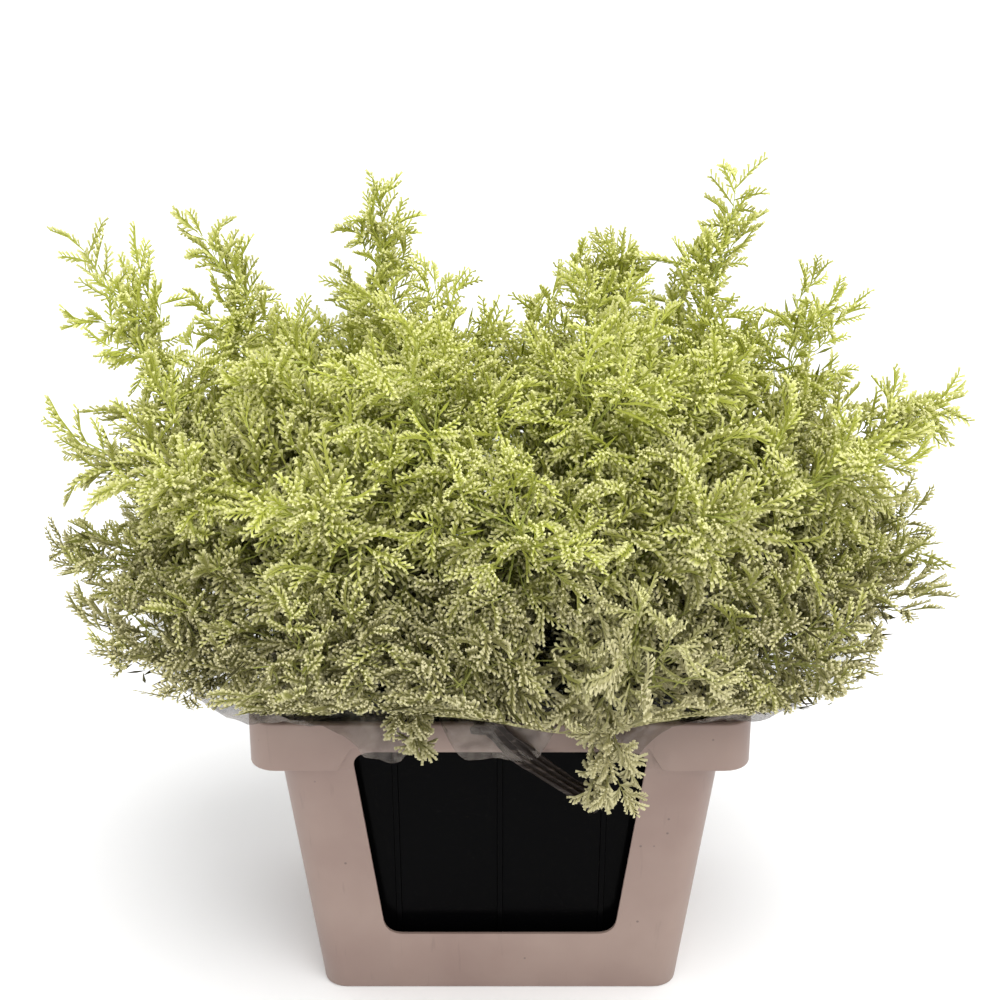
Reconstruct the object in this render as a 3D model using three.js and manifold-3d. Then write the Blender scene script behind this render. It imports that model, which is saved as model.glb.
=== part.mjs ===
// Dried statice: cut and dried flower stems, wrapped by the bunch in clear film sleeves, standing in a
// dry black bucket inside a plastic flower crate with windows.
// Millimetres, +Z up. The origin is the centre of the crate's underside. -Y is the front.
import * as THREE from "three";
import { mergeVertices } from "three/addons/utils/BufferGeometryUtils.js";
import Module from "manifold-3d";

const wasm = await Module();
wasm.setup();

// Driving dimensions
const degree = Math.PI / 180;
const fit = 0.3; // clearance between two pieces that touch
const cutThrough = 500; // longer than anything that is cut right through
const cutPast = 5; // how far a cutter stands past the face where it starts or ends
const draft = Math.tan(6.8 * degree); // the crate's and the bucket's walls lean out by this

const crate = {
  height: 270,
  rimX: 200, // half sizes of the rim band
  rimY: 150,
  rimCorner: 22,
  bandHeight: 42,
  bandOverWindow: 23,
  bandStepX: [129, 117.5], // half width of the raised stretch, at its foot and at its top
  bandStepRun: 0.6, // how far its ends run sideways for each millimetre down
  wall: 3,
  wallX: 178, // half sizes of the wall where the band ends
  wallY: 142,
  wallCorner: 20,
  base: 4,
};

const windows = {
  topDrop: 28, // below the rim
  endTopDrop: 54, // the same at both ends
  sill: 58, // above the floor
  longHalf: 118, // half width at the top, front and back
  endHalf: 66, // half width at the top, both ends
  corner: 15,
};

const bucket = {
  clearance: 12, // to the crate's inner wall
  wall: 2.5,
  corner: 26,
  ribFoot: 6, // above the bucket's own foot
  ribTop: 2, // below the lip
  ribTaper: 1,
  rimDrop: 14, // below the crate's rim
  lipOut: 2.6,
  lipHeight: 5,
  ribWidth: 6,
  ribDepth: 1.6,
  ribsX: [-85, 0, 85],
  ribsY: [-52, 52],
};

const sleeve = {
  film: 0.7,
  mouthX: 157, // half sizes of the six sleeves together, at the crate's rim
  mouthY: 120,
  columns: 3,
  rows: 2,
  footScale: 0.8,
  apart: 1.6, // between two sleeves
  corner: 22,
  wallGap: 11, // from a stem's middle to a sleeve's wall
  stemGap: 26, // between the middles of two stems at the mouth
};

// How spilling foliage stays clear of the film: above it outside the rim, in front of it at the back
const spill = {
  start: 14,
  slope: 0.55,
  cornerY: 100,
  cornerSlope: 0.35,
  backFoot: 15,
  backSlope: 0.42,
  backInset: 9,
  backTips: 14,
  hangY: -160,
};

const stem = {
  radius: 2.3,
  sides: 4,
  clear: 4.5, // from a stem's middle to another spray's crown
  bends: [0, 0.3, 0.6, 0.85], // where the stem's rings stand between the mouth and the crown
  pull: [0.4, 0.35], // how straight it leaves the mouth and enters the crown
  hangingPull: [0.75, 0.45],
};

const crown = {
  seat: 0.45, // the widest place, as a share of the crown's length
  fullness: 0.6, // how fast the crown widens from its base
  round: 0.5, // how it closes towards the tip: a dome
  slender: 1, // or a cone, where the crown is longer than slenderFrom
  slenderFrom: 150,
  coreShare: 0.32, // the core's width over the crown's
  coreRings: [0, 0.18, 0.45, 0.7],
  rootDepth: 0.5, // how far out in the core a spike is rooted
  lowestRoot: 0.04,
  spikes: 18,
  spikeFoot: 0.24, // where the lowest spike ends
  spikeCrowding: 0.66, // under 1, the spikes stand closer together towards the foot
  spikeScatter: 0.16,
  spikeRadius: 11.5,
  spikeBelly: 0.66,
  shortest: 30,
  thinnest: 3,
  forward: 0.75, // how far a spike runs along the crown for each millimetre that it runs out
  forwardMore: 0.1,
};

// The mound: rings of sprays from the drooping edge up to the middle. reach and tipZ place the tips.
// The crowns start at a share of the tip's reach, and the stems leave the mouth at a share of its size:
// the lower a spray hangs, the further out its stem, so that the stems fan out like a fountain.
const rings = [
  { count: 14, phase: 0.35, reach: [362, 258], tipZ: 350, base: [0.64, 0.64], baseZ: 322, mouth: 0.95 },
  { count: 13, phase: 0.85, reach: [342, 240], tipZ: 484, base: [0.6, 0.47], baseZ: 398, mouth: 0.72 },
  { count: 8, phase: 0.5, reach: [222, 144], tipZ: 560, base: [0.47, 0.5], baseZ: 440, mouth: 0.46 },
  { count: 2, phase: 0, reach: [84, 40], tipZ: 582, base: [0.45, 0.45], baseZ: 452, mouth: 0.16 },
];

const mound = {
  width: 72, // half the width that each crown would have if it stood alone
  boxiness: 0.86, // 1 is an oval seen from above, less is squarer
  turnScatter: 0.25,
  reachScatter: 0.07,
  liftScatter: 26,
};

// Sprays that stand out of the mound: where the tip is, how the crown leans, its length and width.
// A spray of a ring that would stand within elbowRoom of one of them is left out for it.
const elbowRoom = 68;
const tallMouth = [0.5, 0.6]; // where their stems leave the mouth, over where the crowns start
const tallSprays = [
  { tip: [-338, 40, 608], lean: [-0.5, 0.05, 1], length: 200, width: 52 },
  { tip: [-246, 108, 618], lean: [-0.22, 0.15, 1], length: 190, width: 50 },
  { tip: [-110, 96, 654], lean: [-0.1, 0.1, 1], length: 190, width: 48 },
  { tip: [104, 122, 624], lean: [0.08, 0.12, 1], length: 180, width: 50 },
  { tip: [204, 92, 652], lean: [0.26, 0.05, 1], length: 200, width: 50 },
  { tip: [362, -42, 518], lean: [1, -0.05, 0.75], length: 160, width: 54 },
  { tip: [-376, -46, 362], lean: [-1, -0.05, 0.02], length: 130, width: 50 },
  { tip: [272, 36, 566], lean: [0.5, 0.1, 1], length: 150, width: 54 },
];

const hangingSprays = [
  { tip: [-62, -180, 258], lean: [0.04, 0.02, -1], length: 72, width: 26 },
  { tip: [80, -182, 204], lean: [-0.05, 0.06, -1], length: 92, width: 30 },
];

const colours = {
  crate: 0xa18a80,
  bucket: 0x0d0d0e,
  film: 0xe8f0f0,
  statice: 0xa9ab58,
};

// Shape tools

const clamp = (t, low, high) => Math.min(high, Math.max(low, t));

// An even scatter from -0.5 to 0.5, the same on every run
function scatter(index, channel) {
  const turn = index * 0.754877666 + channel * 0.569840291;
  return turn - Math.floor(turn) - 0.5;
}

// A rounded rectangle as points, counter-clockwise
function roundedRectangle(halfX, halfY, radius, steps = 5) {
  const points = [];
  const centres = [
    [halfX - radius, halfY - radius],
    [radius - halfX, halfY - radius],
    [radius - halfX, radius - halfY],
    [halfX - radius, radius - halfY],
  ];
  centres.forEach(([x, y], corner) => {
    for (let k = 0; k <= steps; k++) {
      const turn = (corner + k / steps) * (Math.PI / 2);
      points.push([x + radius * Math.cos(turn), y + radius * Math.sin(turn)]);
    }
  });
  return points;
}

// A closed solid through rings of equal point counts. The last ring may be one point.
function loft(rings3) {
  const count = rings3[0].length;
  const positions = rings3.flat().flatMap((p) => [p.x, p.y, p.z]);
  const index = [];
  for (let r = 0; r + 1 < rings3.length; r++) {
    const low = r * count;
    const high = low + count;
    const pointed = rings3[r + 1].length === 1;
    for (let k = 0; k < count; k++) {
      const next = (k + 1) % count;
      if (pointed) index.push(low + k, low + next, high);
      else index.push(low + k, low + next, high + next, low + k, high + next, high + k);
    }
  }
  for (let k = 1; k + 1 < count; k++) index.push(0, k + 1, k);
  if (rings3.at(-1).length > 1) {
    const top = (rings3.length - 1) * count;
    for (let k = 1; k + 1 < count; k++) index.push(top, top + k, top + k + 1);
  }
  return new THREE.BufferGeometry()
    .setAttribute("position", new THREE.Float32BufferAttribute(positions, 3))
    .setIndex(index);
}

const ringAt = (points, z) => points.map(([x, y]) => new THREE.Vector3(x, y, z));

// A tapered block: a rounded rectangle that grows by the draft from one height to another
function taperedBlock(halfX, halfY, corner, lowZ, highZ, grow = draft) {
  const more = (highZ - lowZ) * grow;
  return solid(
    loft([
      ringAt(roundedRectangle(halfX, halfY, corner), lowZ),
      ringAt(roundedRectangle(halfX + more, halfY + more, corner + more * 0.3), highZ),
    ]),
  );
}

function solid(geometry) {
  const bare = geometry.index ? geometry.toNonIndexed() : geometry.clone();
  bare.deleteAttribute("normal");
  bare.deleteAttribute("uv");
  const merged = mergeVertices(bare, 1e-4);
  return new wasm.Manifold(
    new wasm.Mesh({
      numProp: 3,
      vertProperties: new Float32Array(merged.attributes.position.array),
      triVerts: new Uint32Array(merged.index.array),
    }),
  );
}

function geometryOf(manifold) {
  const mesh = manifold.getMesh();
  return new THREE.BufferGeometry()
    .setAttribute("position", new THREE.Float32BufferAttribute(mesh.vertProperties, 3))
    .setIndex(new THREE.Uint32BufferAttribute(mesh.triVerts, 1));
}

// A long bar along Y whose section is an outline in XZ
function alongY(outline) {
  return new THREE.ExtrudeGeometry(outline, { depth: cutThrough, bevelEnabled: false, curveSegments: 5 })
    .translate(0, 0, -cutThrough / 2)
    .rotateX(Math.PI / 2);
}

// A cutter for a window: a trapezium with rounded corners
function windowCutter(topHalf, lowZ, highZ, radius) {
  const lowHalf = topHalf - (highZ - lowZ) * draft;
  const corners = [
    [-lowHalf, lowZ],
    [lowHalf, lowZ],
    [topHalf, highZ],
    [-topHalf, highZ],
  ].map(([x, z]) => new THREE.Vector2(x, z));
  const outline = new THREE.Shape();
  corners.forEach((corner, k) => {
    const before = corners.at(k - 1);
    const after = corners[(k + 1) % corners.length];
    const start = corner.clone().lerp(before, radius / corner.distanceTo(before));
    const end = corner.clone().lerp(after, radius / corner.distanceTo(after));
    if (k === 0) outline.moveTo(start.x, start.y);
    else outline.lineTo(start.x, start.y);
    outline.quadraticCurveTo(corner.x, corner.y, end.x, end.y);
  });
  return alongY(outline);
}

// The crate: a drafted tub with a rim band, a base and a window in every wall
function makeCrate() {
  const c = crate;
  const bandFoot = c.height - c.bandHeight;
  const footX = c.wallX - bandFoot * draft;
  const footY = c.wallY - bandFoot * draft;
  const bodyOuter = taperedBlock(footX, footY, c.wallCorner, 0, c.height);
  const cavity = taperedBlock(
    footX - c.wall + c.base * draft,
    footY - c.wall + c.base * draft,
    c.wallCorner - c.wall,
    c.base,
    c.height + cutPast,
  );
  const bandOuter = taperedBlock(c.rimX, c.rimY, c.rimCorner, bandFoot, c.height, 0);
  // The band is hollow from below at the ends, and solid along the front and the back, where it is thin
  const channel = taperedBlock(
    c.rimX - c.wall,
    c.wallY - c.wall / 2,
    c.rimCorner - c.wall,
    bandFoot - cutPast,
    c.height - c.wall,
    0,
  );
  const [stepLow, stepHigh] = c.bandStepX;
  const stepFoot = stepLow + cutPast * c.bandStepRun;
  const stepOutline = new THREE.Shape([
    new THREE.Vector2(-stepFoot, bandFoot - cutPast),
    new THREE.Vector2(stepFoot, bandFoot - cutPast),
    new THREE.Vector2(stepHigh, c.height - c.bandOverWindow),
    new THREE.Vector2(-stepHigh, c.height - c.bandOverWindow),
  ]);
  const { longHalf, endHalf, sill, corner, topDrop, endTopDrop } = windows;
  const longWindow = windowCutter(longHalf, sill, c.height - topDrop, corner);
  const endWindow = windowCutter(endHalf, sill, c.height - endTopDrop, corner);
  return bandOuter
    .subtract(channel)
    .subtract(solid(alongY(stepOutline)))
    .add(bodyOuter)
    .subtract(cavity)
    .subtract(solid(longWindow))
    .subtract(solid(endWindow.rotateZ(Math.PI / 2)));
}

const bucketFoot = crate.base + fit;
const bucketTop = crate.height - bucket.rimDrop;
const bucketFloor = bucketFoot + bucket.wall;

// Half sizes of the bucket's outside at its foot
function bucketHalf() {
  const bandFoot = crate.height - crate.bandHeight;
  const shrink = bandFoot * draft + crate.wall + bucket.clearance - bucketFoot * draft;
  return [crate.wallX - shrink, crate.wallY - shrink];
}

// The black bucket: a drafted tub with a lip and upright ribs
function makeBucket() {
  const [halfX, halfY] = bucketHalf();
  const tall = bucketTop - bucketFoot;
  const grown = tall * draft;
  let body = taperedBlock(halfX, halfY, bucket.corner, bucketFoot, bucketTop);
  const lip = taperedBlock(
    halfX + grown + bucket.lipOut,
    halfY + grown + bucket.lipOut,
    bucket.corner + grown * 0.3 + bucket.lipOut,
    bucketTop - bucket.lipHeight,
    bucketTop,
    0,
  );
  const cavity = taperedBlock(
    halfX - bucket.wall + bucket.wall * draft,
    halfY - bucket.wall + bucket.wall * draft,
    bucket.corner - bucket.wall,
    bucketFloor,
    bucketTop + cutPast,
  );
  const ribOn = (along, half, turned) => {
    const { ribWidth, ribDepth, ribTaper, ribFoot, ribTop, lipHeight, wall } = bucket;
    const lowZ = bucketFoot + ribFoot;
    const highZ = bucketTop - lipHeight - ribTop;
    const face = (z) => half + (z - bucketFoot) * draft;
    const ring = (z) =>
      [
        [-ribWidth / 2, face(z) - wall / 2],
        [ribWidth / 2, face(z) - wall / 2],
        [ribWidth / 2 - ribTaper, face(z) + ribDepth],
        [ribTaper - ribWidth / 2, face(z) + ribDepth],
      ].map(([x, y]) => new THREE.Vector3(along + x, y, z));
    const rib = loft([ring(lowZ), ring(highZ)]);
    return solid(turned ? rib.rotateZ(-Math.PI / 2) : rib);
  };
  for (const x of bucket.ribsX) {
    body = body.add(ribOn(x, halfY, false));
    body = body.add(ribOn(x, halfY, false).rotate([0, 0, 180]));
  }
  for (const y of bucket.ribsY) {
    body = body.add(ribOn(y, halfX, true));
    body = body.add(ribOn(y, halfX, true).rotate([0, 0, 180]));
  }
  return body.add(lip).subtract(cavity);
}

// The sprays: where each crown stands, and the stem that carries it

// Spilling foliage stays above the sleeves' flared film, and in front of the film that stands at the back
function floorUnder(x, y) {
  const outX = Math.max(0, Math.abs(x) - crate.rimX);
  const outY = Math.max(0, Math.abs(y) - crate.rimY);
  const towardsBack = Math.max(0, y - spill.cornerY);
  return crate.height + spill.start + spill.slope * Math.hypot(outX, outY) + spill.cornerSlope * towardsBack;
}

function backFilm(z) {
  return crate.rimY + (z - crate.height - spill.backFoot) * spill.backSlope;
}

function makeSpray(name, tip, base, width, mouth) {
  const axis = tip.clone().sub(base);
  const length = axis.length();
  axis.normalize();
  const centre = base.clone().lerp(tip, crown.seat);
  return { name, tip, axis, base, centre, length, width, mouth, hangs: axis.z < -0.3 };
}

const numbered = (word, k) => `${word}_${String(k).padStart(2, "0")}`;

function standingOut(word, list) {
  return list.map(({ tip, lean, length, width }, k) => {
    const top = new THREE.Vector3(...tip);
    const base = top.clone().addScaledVector(new THREE.Vector3(...lean).normalize(), -length);
    const mouth = new THREE.Vector3(base.x * tallMouth[0], base.y * tallMouth[1], crate.height);
    return makeSpray(numbered(word, k + 1), top, base, width, mouth);
  });
}

function layOutSprays() {
  const standOut = [...standingOut("tall_spray", tallSprays), ...standingOut("hanging_spray", hangingSprays)];
  const inMound = [];
  rings.forEach(({ count, phase, reach, tipZ, base, baseZ, mouth }, r) => {
    for (let k = 0; k < count; k++) {
      const turn = ((k + phase + mound.turnScatter * scatter(k, r)) / count) * 2 * Math.PI;
      const boxy = (value) => Math.sign(value) * Math.abs(value) ** mound.boxiness;
      const [unitX, unitY] = [boxy(Math.cos(turn)), boxy(Math.sin(turn))];
      const far = 1 + mound.reachScatter * scatter(k, r + 3);
      const lift = mound.liftScatter * scatter(k, r + 7);
      const tip = new THREE.Vector3(reach[0] * far * unitX, reach[1] * far * unitY, tipZ + lift);
      tip.y = Math.min(tip.y, backFilm(tip.z) - spill.backTips);
      const start = new THREE.Vector3(tip.x * base[0], tip.y * base[1], baseZ + lift / 2);
      const from = new THREE.Vector3(
        (sleeve.mouthX - sleeve.wallGap) * mouth * unitX,
        (sleeve.mouthY - sleeve.wallGap) * mouth * unitY,
        crate.height,
      );
      const spray = makeSpray(numbered("spray", inMound.length + 1), tip, start, mound.width, from);
      const crowds = (other) => !other.hangs && other.centre.distanceTo(spray.centre) < elbowRoom;
      if (!standOut.some(crowds)) inMound.push(spray);
    }
  });
  return [...inMound, ...standOut];
}

// A few rounds of pushing spread the stems in the mouth and keep them off the sleeves' walls
function spreadMouths(sprays) {
  const { mouthX, mouthY, columns, wallGap, stemGap } = sleeve;
  const walls = Array.from({ length: columns - 1 }, (_, k) => -mouthX + ((k + 1) * 2 * mouthX) / columns);
  const pushOff = (value, wall) => {
    const off = value - wall;
    return Math.abs(off) < wallGap ? wall + wallGap * (off < 0 ? -1 : 1) : value;
  };
  for (let round = 0; round < 60; round++) {
    for (const one of sprays) {
      for (const other of sprays) {
        if (one === other) continue;
        const away = one.mouth.clone().sub(other.mouth);
        const lack = stemGap - away.length();
        if (lack > 0) one.mouth.addScaledVector(away.normalize(), lack / 2);
      }
      one.mouth.x = clamp(one.mouth.x, wallGap - mouthX, mouthX - wallGap);
      one.mouth.y = clamp(one.mouth.y, wallGap - mouthY, mouthY - wallGap);
      for (const wall of walls) one.mouth.x = pushOff(one.mouth.x, wall);
      one.mouth.y = pushOff(one.mouth.y, 0);
    }
  }
}

// The stem's line: straight up from the bucket's floor to the mouth, then bending out into the crown
function layStem(spray) {
  const foot = spray.mouth.clone().multiplyScalar(sleeve.footScale).setZ(bucketFloor + fit);
  const rise = spray.mouth.clone().sub(foot).normalize();
  const span = spray.mouth.distanceTo(spray.base);
  const [straight, entry] = spray.hangs ? stem.hangingPull : stem.pull;
  const bend = new THREE.CubicBezierCurve3(
    spray.mouth,
    spray.mouth.clone().addScaledVector(rise, span * straight),
    spray.base.clone().addScaledVector(spray.axis, -span * entry),
    spray.base,
  );
  spray.line = [foot, ...stem.bends.map((t) => bend.getPoint(t)), spray.base];
  spray.headings = [new THREE.Vector3(0, 0, 1), ...stem.bends.map((t) => bend.getTangent(t))];
}

// Planes that keep a crown clear of the others' crowns and stems: normal . p stays under offset.
// Between two crowns the plane is halfway. Against a stem it stands square at the stem's nearest point.
function planesAround(spray, sprays) {
  const planes = [];
  const keepOff = (site, share, slack) => {
    const away = site.clone().sub(spray.centre);
    const distance = away.length();
    away.divideScalar(distance);
    planes.push({ normal: away, offset: away.dot(spray.centre) + distance * share - slack });
  };
  const nearest = new THREE.Vector3();
  for (const other of sprays) {
    if (other === spray) continue;
    keepOff(other.centre, 0.5, fit);
    for (let k = 1; k < other.line.length; k++) {
      new THREE.Line3(other.line[k - 1], other.line[k]).closestPointToPoint(spray.centre, true, nearest);
      if (nearest.distanceTo(spray.centre) < spray.length) keepOff(nearest, 1, stem.clear);
    }
  }
  return planes;
}

const outsideBy = (point, planes) =>
  planes.reduce((worst, p) => Math.max(worst, p.normal.dot(point) - p.offset), -Infinity);

// How far a point is inside the room that the film leaves. Hanging sprays have it free in front of the rim.
function roomByFilm({ x, y, z }, spray) {
  if (spray.hangs && y < spill.hangY) return spray.length;
  return Math.min(z - floorUnder(x, y), backFilm(z) - spill.backInset - y);
}

// How far along the way from a point inside to one further out the planes and the film let it go
function reachable(from, to, spray) {
  const way = to.clone().sub(from);
  const least = 0.02;
  let share = 1;
  for (const { normal, offset } of spray.planes) {
    const rate = normal.dot(way);
    if (rate > 0) share = Math.min(share, (offset - normal.dot(from)) / rate);
  }
  share = Math.max(share, least);
  const clear = (s) => roomByFilm(from.clone().addScaledVector(way, s), spray) >= 0;
  while (share > least && !clear(share)) share = Math.max(least, share * 0.85);
  return share;
}

// Two directions square to an axis
function across(axis) {
  const side = new THREE.Vector3(0, 0, 1).cross(axis);
  if (side.lengthSq() < 1e-3) side.set(1, 0, 0);
  side.normalize();
  return [side, axis.clone().cross(side)];
}

// Half the crown's width at a share of its length: full low down, then rounding off towards the tip
function widthAt(spray, share) {
  const { seat, fullness, round, slender, slenderFrom } = crown;
  if (share < seat) return spray.width * (share / seat) ** fullness;
  return spray.width * ((1 - share) / (1 - seat)) ** (spray.length > slenderFrom ? slender : round);
}

function pointAround(spray, share, turn, radius) {
  const [side, other] = across(spray.axis);
  return spray.base
    .clone()
    .addScaledVector(spray.axis, share * spray.length)
    .addScaledVector(side, radius * Math.cos(turn))
    .addScaledVector(other, radius * Math.sin(turn));
}

// One spike of packed florets: a three-sided spindle from the core out to the crown's edge
function spikeSolid(root, end, twist, spray) {
  const [side, other] = across(end.clone().sub(root).normalize());
  const belly = root.clone().lerp(end, crown.spikeBelly);
  const room = Math.min(crown.spikeRadius, -outsideBy(belly, spray.planes) - fit, roomByFilm(belly, spray));
  const ring = [0, 1, 2].map((k) => {
    const turn = twist + (k / 3) * 2 * Math.PI;
    return belly
      .clone()
      .addScaledVector(side, room * Math.cos(turn))
      .addScaledVector(other, room * Math.sin(turn));
  });
  const points = [root, ...ring, end];
  const index = [0, 2, 1, 0, 3, 2, 0, 1, 3, 1, 2, 4, 2, 3, 4, 3, 1, 4];
  const geometry = new THREE.BufferGeometry()
    .setAttribute("position", new THREE.Float32BufferAttribute(points.flatMap((p) => [p.x, p.y, p.z]), 3))
    .setIndex(index);
  return room > crown.thinnest ? solid(geometry) : null;
}

// A spray: the stem and the crown's slim core as one lofted body, with flower spikes standing out of it
function makeSprayNode(spray, seed) {
  const ringOf = (centre, axis, radius, limited) => {
    const [side, other] = across(axis);
    return Array.from({ length: stem.sides }, (_, k) => {
      const turn = (k / stem.sides) * 2 * Math.PI;
      const edge = centre
        .clone()
        .addScaledVector(side, radius * Math.cos(turn))
        .addScaledVector(other, radius * Math.sin(turn));
      return limited ? centre.clone().lerp(edge, reachable(centre, edge, spray)) : edge;
    });
  };
  const rings3 = spray.headings.map((heading, k) => ringOf(spray.line[k], heading, stem.radius, false));
  for (const share of crown.coreRings) {
    const radius = Math.max(stem.radius, widthAt(spray, share) * crown.coreShare);
    rings3.push(ringOf(pointAround(spray, share, 0, 0), spray.axis, radius, share > 0));
  }
  rings3.push([spray.centre.clone().lerp(spray.tip, reachable(spray.centre, spray.tip, spray))]);
  const pieces = [solid(loft(rings3))];

  const golden = Math.PI * (3 - Math.sqrt(5));
  for (let k = 0; k < crown.spikes; k++) {
    const share = 1 - (1 - crown.spikeFoot) * ((k + 0.5) / crown.spikes) ** crown.spikeCrowding;
    const turn = k * golden + seed;
    const reach = widthAt(spray, share) * (1 - crown.spikeScatter * (scatter(k, seed) + 0.5));
    const back = (crown.forward * reach) / spray.length + crown.forwardMore;
    const rootShare = Math.max(crown.lowestRoot, share - back);
    const rootOut = widthAt(spray, rootShare) * crown.coreShare * crown.rootDepth;
    const root = pointAround(spray, rootShare, turn, rootOut);
    const edge = pointAround(spray, share, turn, reach);
    const end = root.clone().lerp(edge, reachable(root, edge, spray));
    if (end.distanceTo(root) < crown.shortest || outsideBy(root, spray.planes) > -fit) continue;
    const spike = spikeSolid(root, end, k, spray);
    if (spike) pieces.push(spike);
  }
  const joined = wasm.Manifold.union(pieces);
  return joined.decompose().reduce((a, b) => (a.volume() > b.volume() ? a : b));
}

// The sleeves: each a tube of film round its bunch, opened out over the rim, and standing up at the back.
// at is how far from the crate's middle the film has got, rise how high it is over the crate's rim.
const sideRun = { at: [176, 201, 243, 285], rise: [3, 6, 23, 47] };
const frontRun = { at: [140, 153.8, 158, 162], rise: [3.2, 2.6, 2, 1.6] };
const flapRun = { at: [140, 153.8, 154.6, 154.2], rise: [3.2, 2.6, -12, -32] };
const innerRun = { rise: [2, 4, 6, 8] };
const backRun = risingBack([15, 60, 140, 232]);
const backPeak = risingBack([15, 60, 150, 264]);
const lowBackPeak = risingBack([15, 60, 130, 205]);
const backNotch = risingBack([13, 17, 23, 30]);
const cornerShare = 0.6; // how much of the flare is left at the group's corners
const cornerRise = 0.2; // how much of the front's or the back's rise is mixed into the side's there
const backSpread = 50; // how far the outer sleeves' back edges lean out sideways

function risingBack(rise) {
  return { at: rise.map((high) => backFilm(crate.height + high)), rise };
}

// The places round a sleeve's mouth, each with the way that the film goes from there
function sleeveOutline(column, row) {
  const halfX = sleeve.mouthX / sleeve.columns - sleeve.apart / 2;
  const halfY = sleeve.mouthY / sleeve.rows - sleeve.apart / 2;
  const middle = [
    (2 * column + 1 - sleeve.columns) * (sleeve.mouthX / sleeve.columns),
    (2 * row + 1 - sleeve.rows) * (sleeve.mouthY / sleeve.rows),
  ];
  const outerX = Math.sign(column - (sleeve.columns - 1) / 2);
  const outerY = row === 0 ? -1 : 1;
  const corners = roundedRectangle(halfX, halfY, sleeve.corner, 2);
  const places = corners.flatMap(([x, y], k) => {
    const here = { x, y, diagonal: k % 3 === 1 };
    const beforeEnd = k % 3 === 2 && y * outerY > 0 && y === corners[(k + 1) % corners.length][1];
    return beforeEnd ? [here, { x: 0, y, between: true }] : [here];
  });
  return places.map(({ x, y, diagonal, between }) => {
    const toSide = x * outerX > halfX - sleeve.corner * 0.5;
    const toEnd = y * outerY > halfY - sleeve.corner * 0.5;
    const isMiddle = outerX === 0;
    const run = runOf({ toEnd, toSide, between, diagonal, isBack: row > 0, isMiddle, outward: x * outerX });
    const share = toSide && toEnd ? cornerShare : 1;
    return { x: x + middle[0], y: y + middle[1], outerX, outerY, toSide, toEnd, run, share };
  });
}

function runOf({ toEnd, toSide, between, diagonal, isBack, isMiddle, outward }) {
  if (!toEnd) return innerRun;
  if (isBack && diagonal && !toSide) return backNotch;
  if (isBack && isMiddle) return lowBackPeak;
  if (isBack) return between ? backPeak : backRun;
  return diagonal || outward > 1 ? frontRun : flapRun;
}

function filmPoint({ x, y, outerX, outerY, toSide, toEnd, run, share }, level) {
  const first = Math.min(level, 1);
  const reachOf = ({ at }) => at[first] + (at[level] - at[first]) * share;
  const spread = toEnd && outerY > 0 ? (outerX * backSpread * level) / 3 : 0;
  const side = toSide ? outerX * reachOf(sideRun) : x + spread;
  const end = toEnd ? outerY * reachOf(run) : y;
  const endPart = toSide ? cornerRise * toEnd : 1;
  const rise = run.rise[level] * endPart + sideRun.rise[level] * (1 - endPart);
  return new THREE.Vector3(side, end, crate.height + rise);
}

// A wall of even thickness over a closed band of points: rows from foot to edge, columns round.
// Both faces are split along the same diagonals, so that they never cross.
function filmWall(rows, thickness) {
  const count = rows[0].length;
  const inner = rows.map((row, r) =>
    row.map((point, k) => {
      const along = row[(k + 1) % count].clone().sub(row.at(k - 1));
      const upward = rows[Math.min(r + 1, rows.length - 1)][k].clone().sub(rows[Math.max(r - 1, 0)][k]);
      return point.clone().addScaledVector(upward.cross(along).normalize(), thickness);
    }),
  );
  inner[0].forEach((point, k) => point.setZ(rows[0][k].z));
  const layers = [...rows, ...inner.reverse()];
  const positions = layers.flat().flatMap((p) => [p.x, p.y, p.z]);
  const index = layers.flatMap((_, r) => {
    const low = r * count;
    const high = ((r + 1) % layers.length) * count;
    return layers[0].flatMap((_, k) => {
      const next = (k + 1) % count;
      if (r < rows.length) return [low + k, low + next, high + next, low + k, high + next, high + k];
      return [low + k, low + next, high + k, low + next, high + next, high + k];
    });
  });
  return new THREE.BufferGeometry()
    .setAttribute("position", new THREE.Float32BufferAttribute(positions, 3))
    .setIndex(index);
}

function makeSleeve(column, row) {
  const places = sleeveOutline(column, row);
  const straight = (share, z) => places.map(({ x, y }) => new THREE.Vector3(x * share, y * share, z));
  const flared = [0, 1, 2, 3].map((level) => places.map((place) => filmPoint(place, level)));
  const rows = [straight(sleeve.footScale, bucketFloor + fit), straight(1, crate.height - 2), ...flared];
  return solid(filmWall(rows, sleeve.film));
}

const group = new THREE.Group();

function addNode(name, manifold, colour, roughness) {
  const material = new THREE.MeshStandardMaterial({ color: colour, roughness, metalness: 0 });
  const mesh = new THREE.Mesh(geometryOf(manifold), material);
  mesh.name = name;
  group.add(mesh);
}

addNode("crate", makeCrate(), colours.crate, 0.5);
addNode("bucket", makeBucket(), colours.bucket, 0.25);

const sprays = layOutSprays();
spreadMouths(sprays);
sprays.forEach(layStem);
sprays.forEach((spray) => {
  spray.planes = planesAround(spray, sprays);
});
sprays.forEach((spray, k) => addNode(spray.name, makeSprayNode(spray, k), colours.statice, 0.85));

for (let column = 0; column < sleeve.columns; column++) {
  for (let row = 0; row < sleeve.rows; row++) {
    const name = `film_sleeve_${["front", "back"][row]}_${["left", "middle", "right"][column]}`;
    addNode(name, makeSleeve(column, row), colours.film, 0.2);
  }
}

export default group;
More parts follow.
